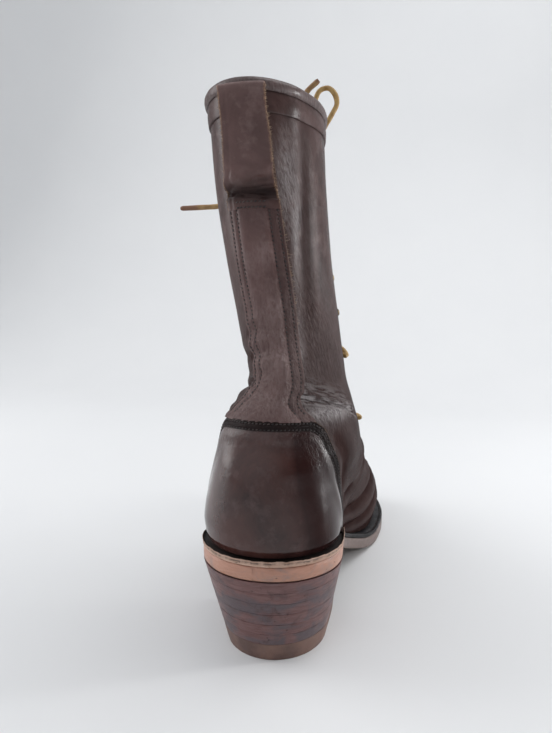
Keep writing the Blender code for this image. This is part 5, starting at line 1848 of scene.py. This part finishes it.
def build_floor(finish):
    """Floor that runs up into a backdrop in one sweep."""
    profile = [(-FLOOR_FRONT, 0.0)]
    for turn in np.linspace(0, math.pi / 2, 16):
        profile.append((FLOOR_BACK + SWEEP_RADIUS * math.sin(turn), SWEEP_RADIUS * (1 - math.cos(turn))))
    profile.append((FLOOR_BACK + SWEEP_RADIUS, SWEEP_HIGH))
    points = [(x, y, z) for y, z in profile for x in (-FLOOR_HALF, FLOOR_HALF)]
    faces = [(2 * k, 2 * k + 1, 2 * k + 3, 2 * k + 2) for k in range(len(profile) - 1)]
    mesh = bpy.data.meshes.new("floor")
    mesh.from_pydata(points, [], faces)
    mesh.shade_smooth()
    mesh.materials.append(finish)
    floor = bpy.data.objects.new("floor", mesh)
    bpy.context.scene.collection.objects.link(floor)


def build_lamps():
    for name, lamp in LAMPS.items():
        light = bpy.data.lights.new(f"softbox_{name}", "AREA")
        light.shape = "RECTANGLE"
        light.size, light.size_y = lamp.wide, lamp.tall
        light.energy = lamp.power
        made = bpy.data.objects.new(f"softbox_{name}", light)
        made.location = lamp.place
        made.visible_camera = False
        made.rotation_euler = (Vector(lamp.target) - Vector(lamp.place)).to_track_quat("-Z", "Y").to_euler()
        bpy.context.scene.collection.objects.link(made)
    world_light = bpy.data.worlds.new("studio")
    world_light.use_nodes = True
    tree = world_light.node_tree
    background = tree.nodes["Background"]
    background.inputs["Color"].default_value = (*ROOM, 1.0)
    way = tree.nodes.new("ShaderNodeTexCoord")
    towards = tree.nodes.new("ShaderNodeVectorMath")
    towards.operation = "DOT_PRODUCT"
    towards.inputs[1].default_value = ROOM_BRIGHT
    strength = tree.nodes.new("ShaderNodeMapRange")
    strength.interpolation_type = "SMOOTHSTEP"
    for key, value in (("From Min", -0.5), ("From Max", 1.0), ("To Min", ROOM_LOW), ("To Max", ROOM_HIGH)):
        strength.inputs[key].default_value = value
    tree.links.new(way.outputs["Generated"], towards.inputs[0])
    tree.links.new(towards.outputs["Value"], strength.inputs["Value"])
    tree.links.new(strength.outputs["Result"], background.inputs["Strength"])
    bpy.context.scene.world = world_light


def build_camera():
    lens = bpy.data.cameras.new("camera")
    lens.sensor_width = 36.0
    lens.lens = CAMERA_FOCAL * lens.sensor_width / FRAME_LONG_SIDE
    lens.clip_start = 0.01
    camera = bpy.data.objects.new("camera", lens)
    camera.location = [c * MM for c in CAMERA_PLACE]
    camera.rotation_euler = (math.radians(90 - CAMERA_PITCH), 0.0, math.radians(CAMERA_HEADING))
    bpy.context.scene.collection.objects.link(camera)
    bpy.context.scene.camera = camera
    bpy.context.scene.view_settings.view_transform = "Standard"


def dress_insole(finish):
    solid = bpy.data.objects["insole"]
    solid.data.materials.clear()
    solid.data.materials.append(finish)


def main():
    build_camera()
    hide = rawhide()
    build_bow(hide)
    build_lacing(hide)
    shaft = leather("shaft")
    stay = leather("stay")
    counter = leather("counter")
    strap = leather("strap")
    build_upper(shaft)
    build_counter(counter)
    build_back_stay(stay)
    build_collar_band(shaft)
    build_collar_binding(shaft)
    build_pull_strap(strap)
    build_fibres(fibre())
    build_tongue(shaft)
    build_quarter_edges(shaft)
    build_outsole(sole_leather())
    build_welt(welt_leather())
    build_rand(rand_leather())
    build_heel(stack_leather(), cap_rubber())
    build_fittings(brass())
    black = thread("dark_thread", (0.006, 0.004, 0.004), (0.050, 0.033, 0.030))
    build_stitches("upper_stitches", upper_rows(), UPPER_THREAD, black, "shaft_leather")
    build_stitches("strap_stitches", strap_rows(), STRAP_THREAD, black, "strap_leather")
    build_stitches("welt_stitches", welt_row(), WELT_THREAD, black, "welt_leather")
    dress_insole(insole_leather())
    build_floor(floor_paint())
    build_lamps()


main()
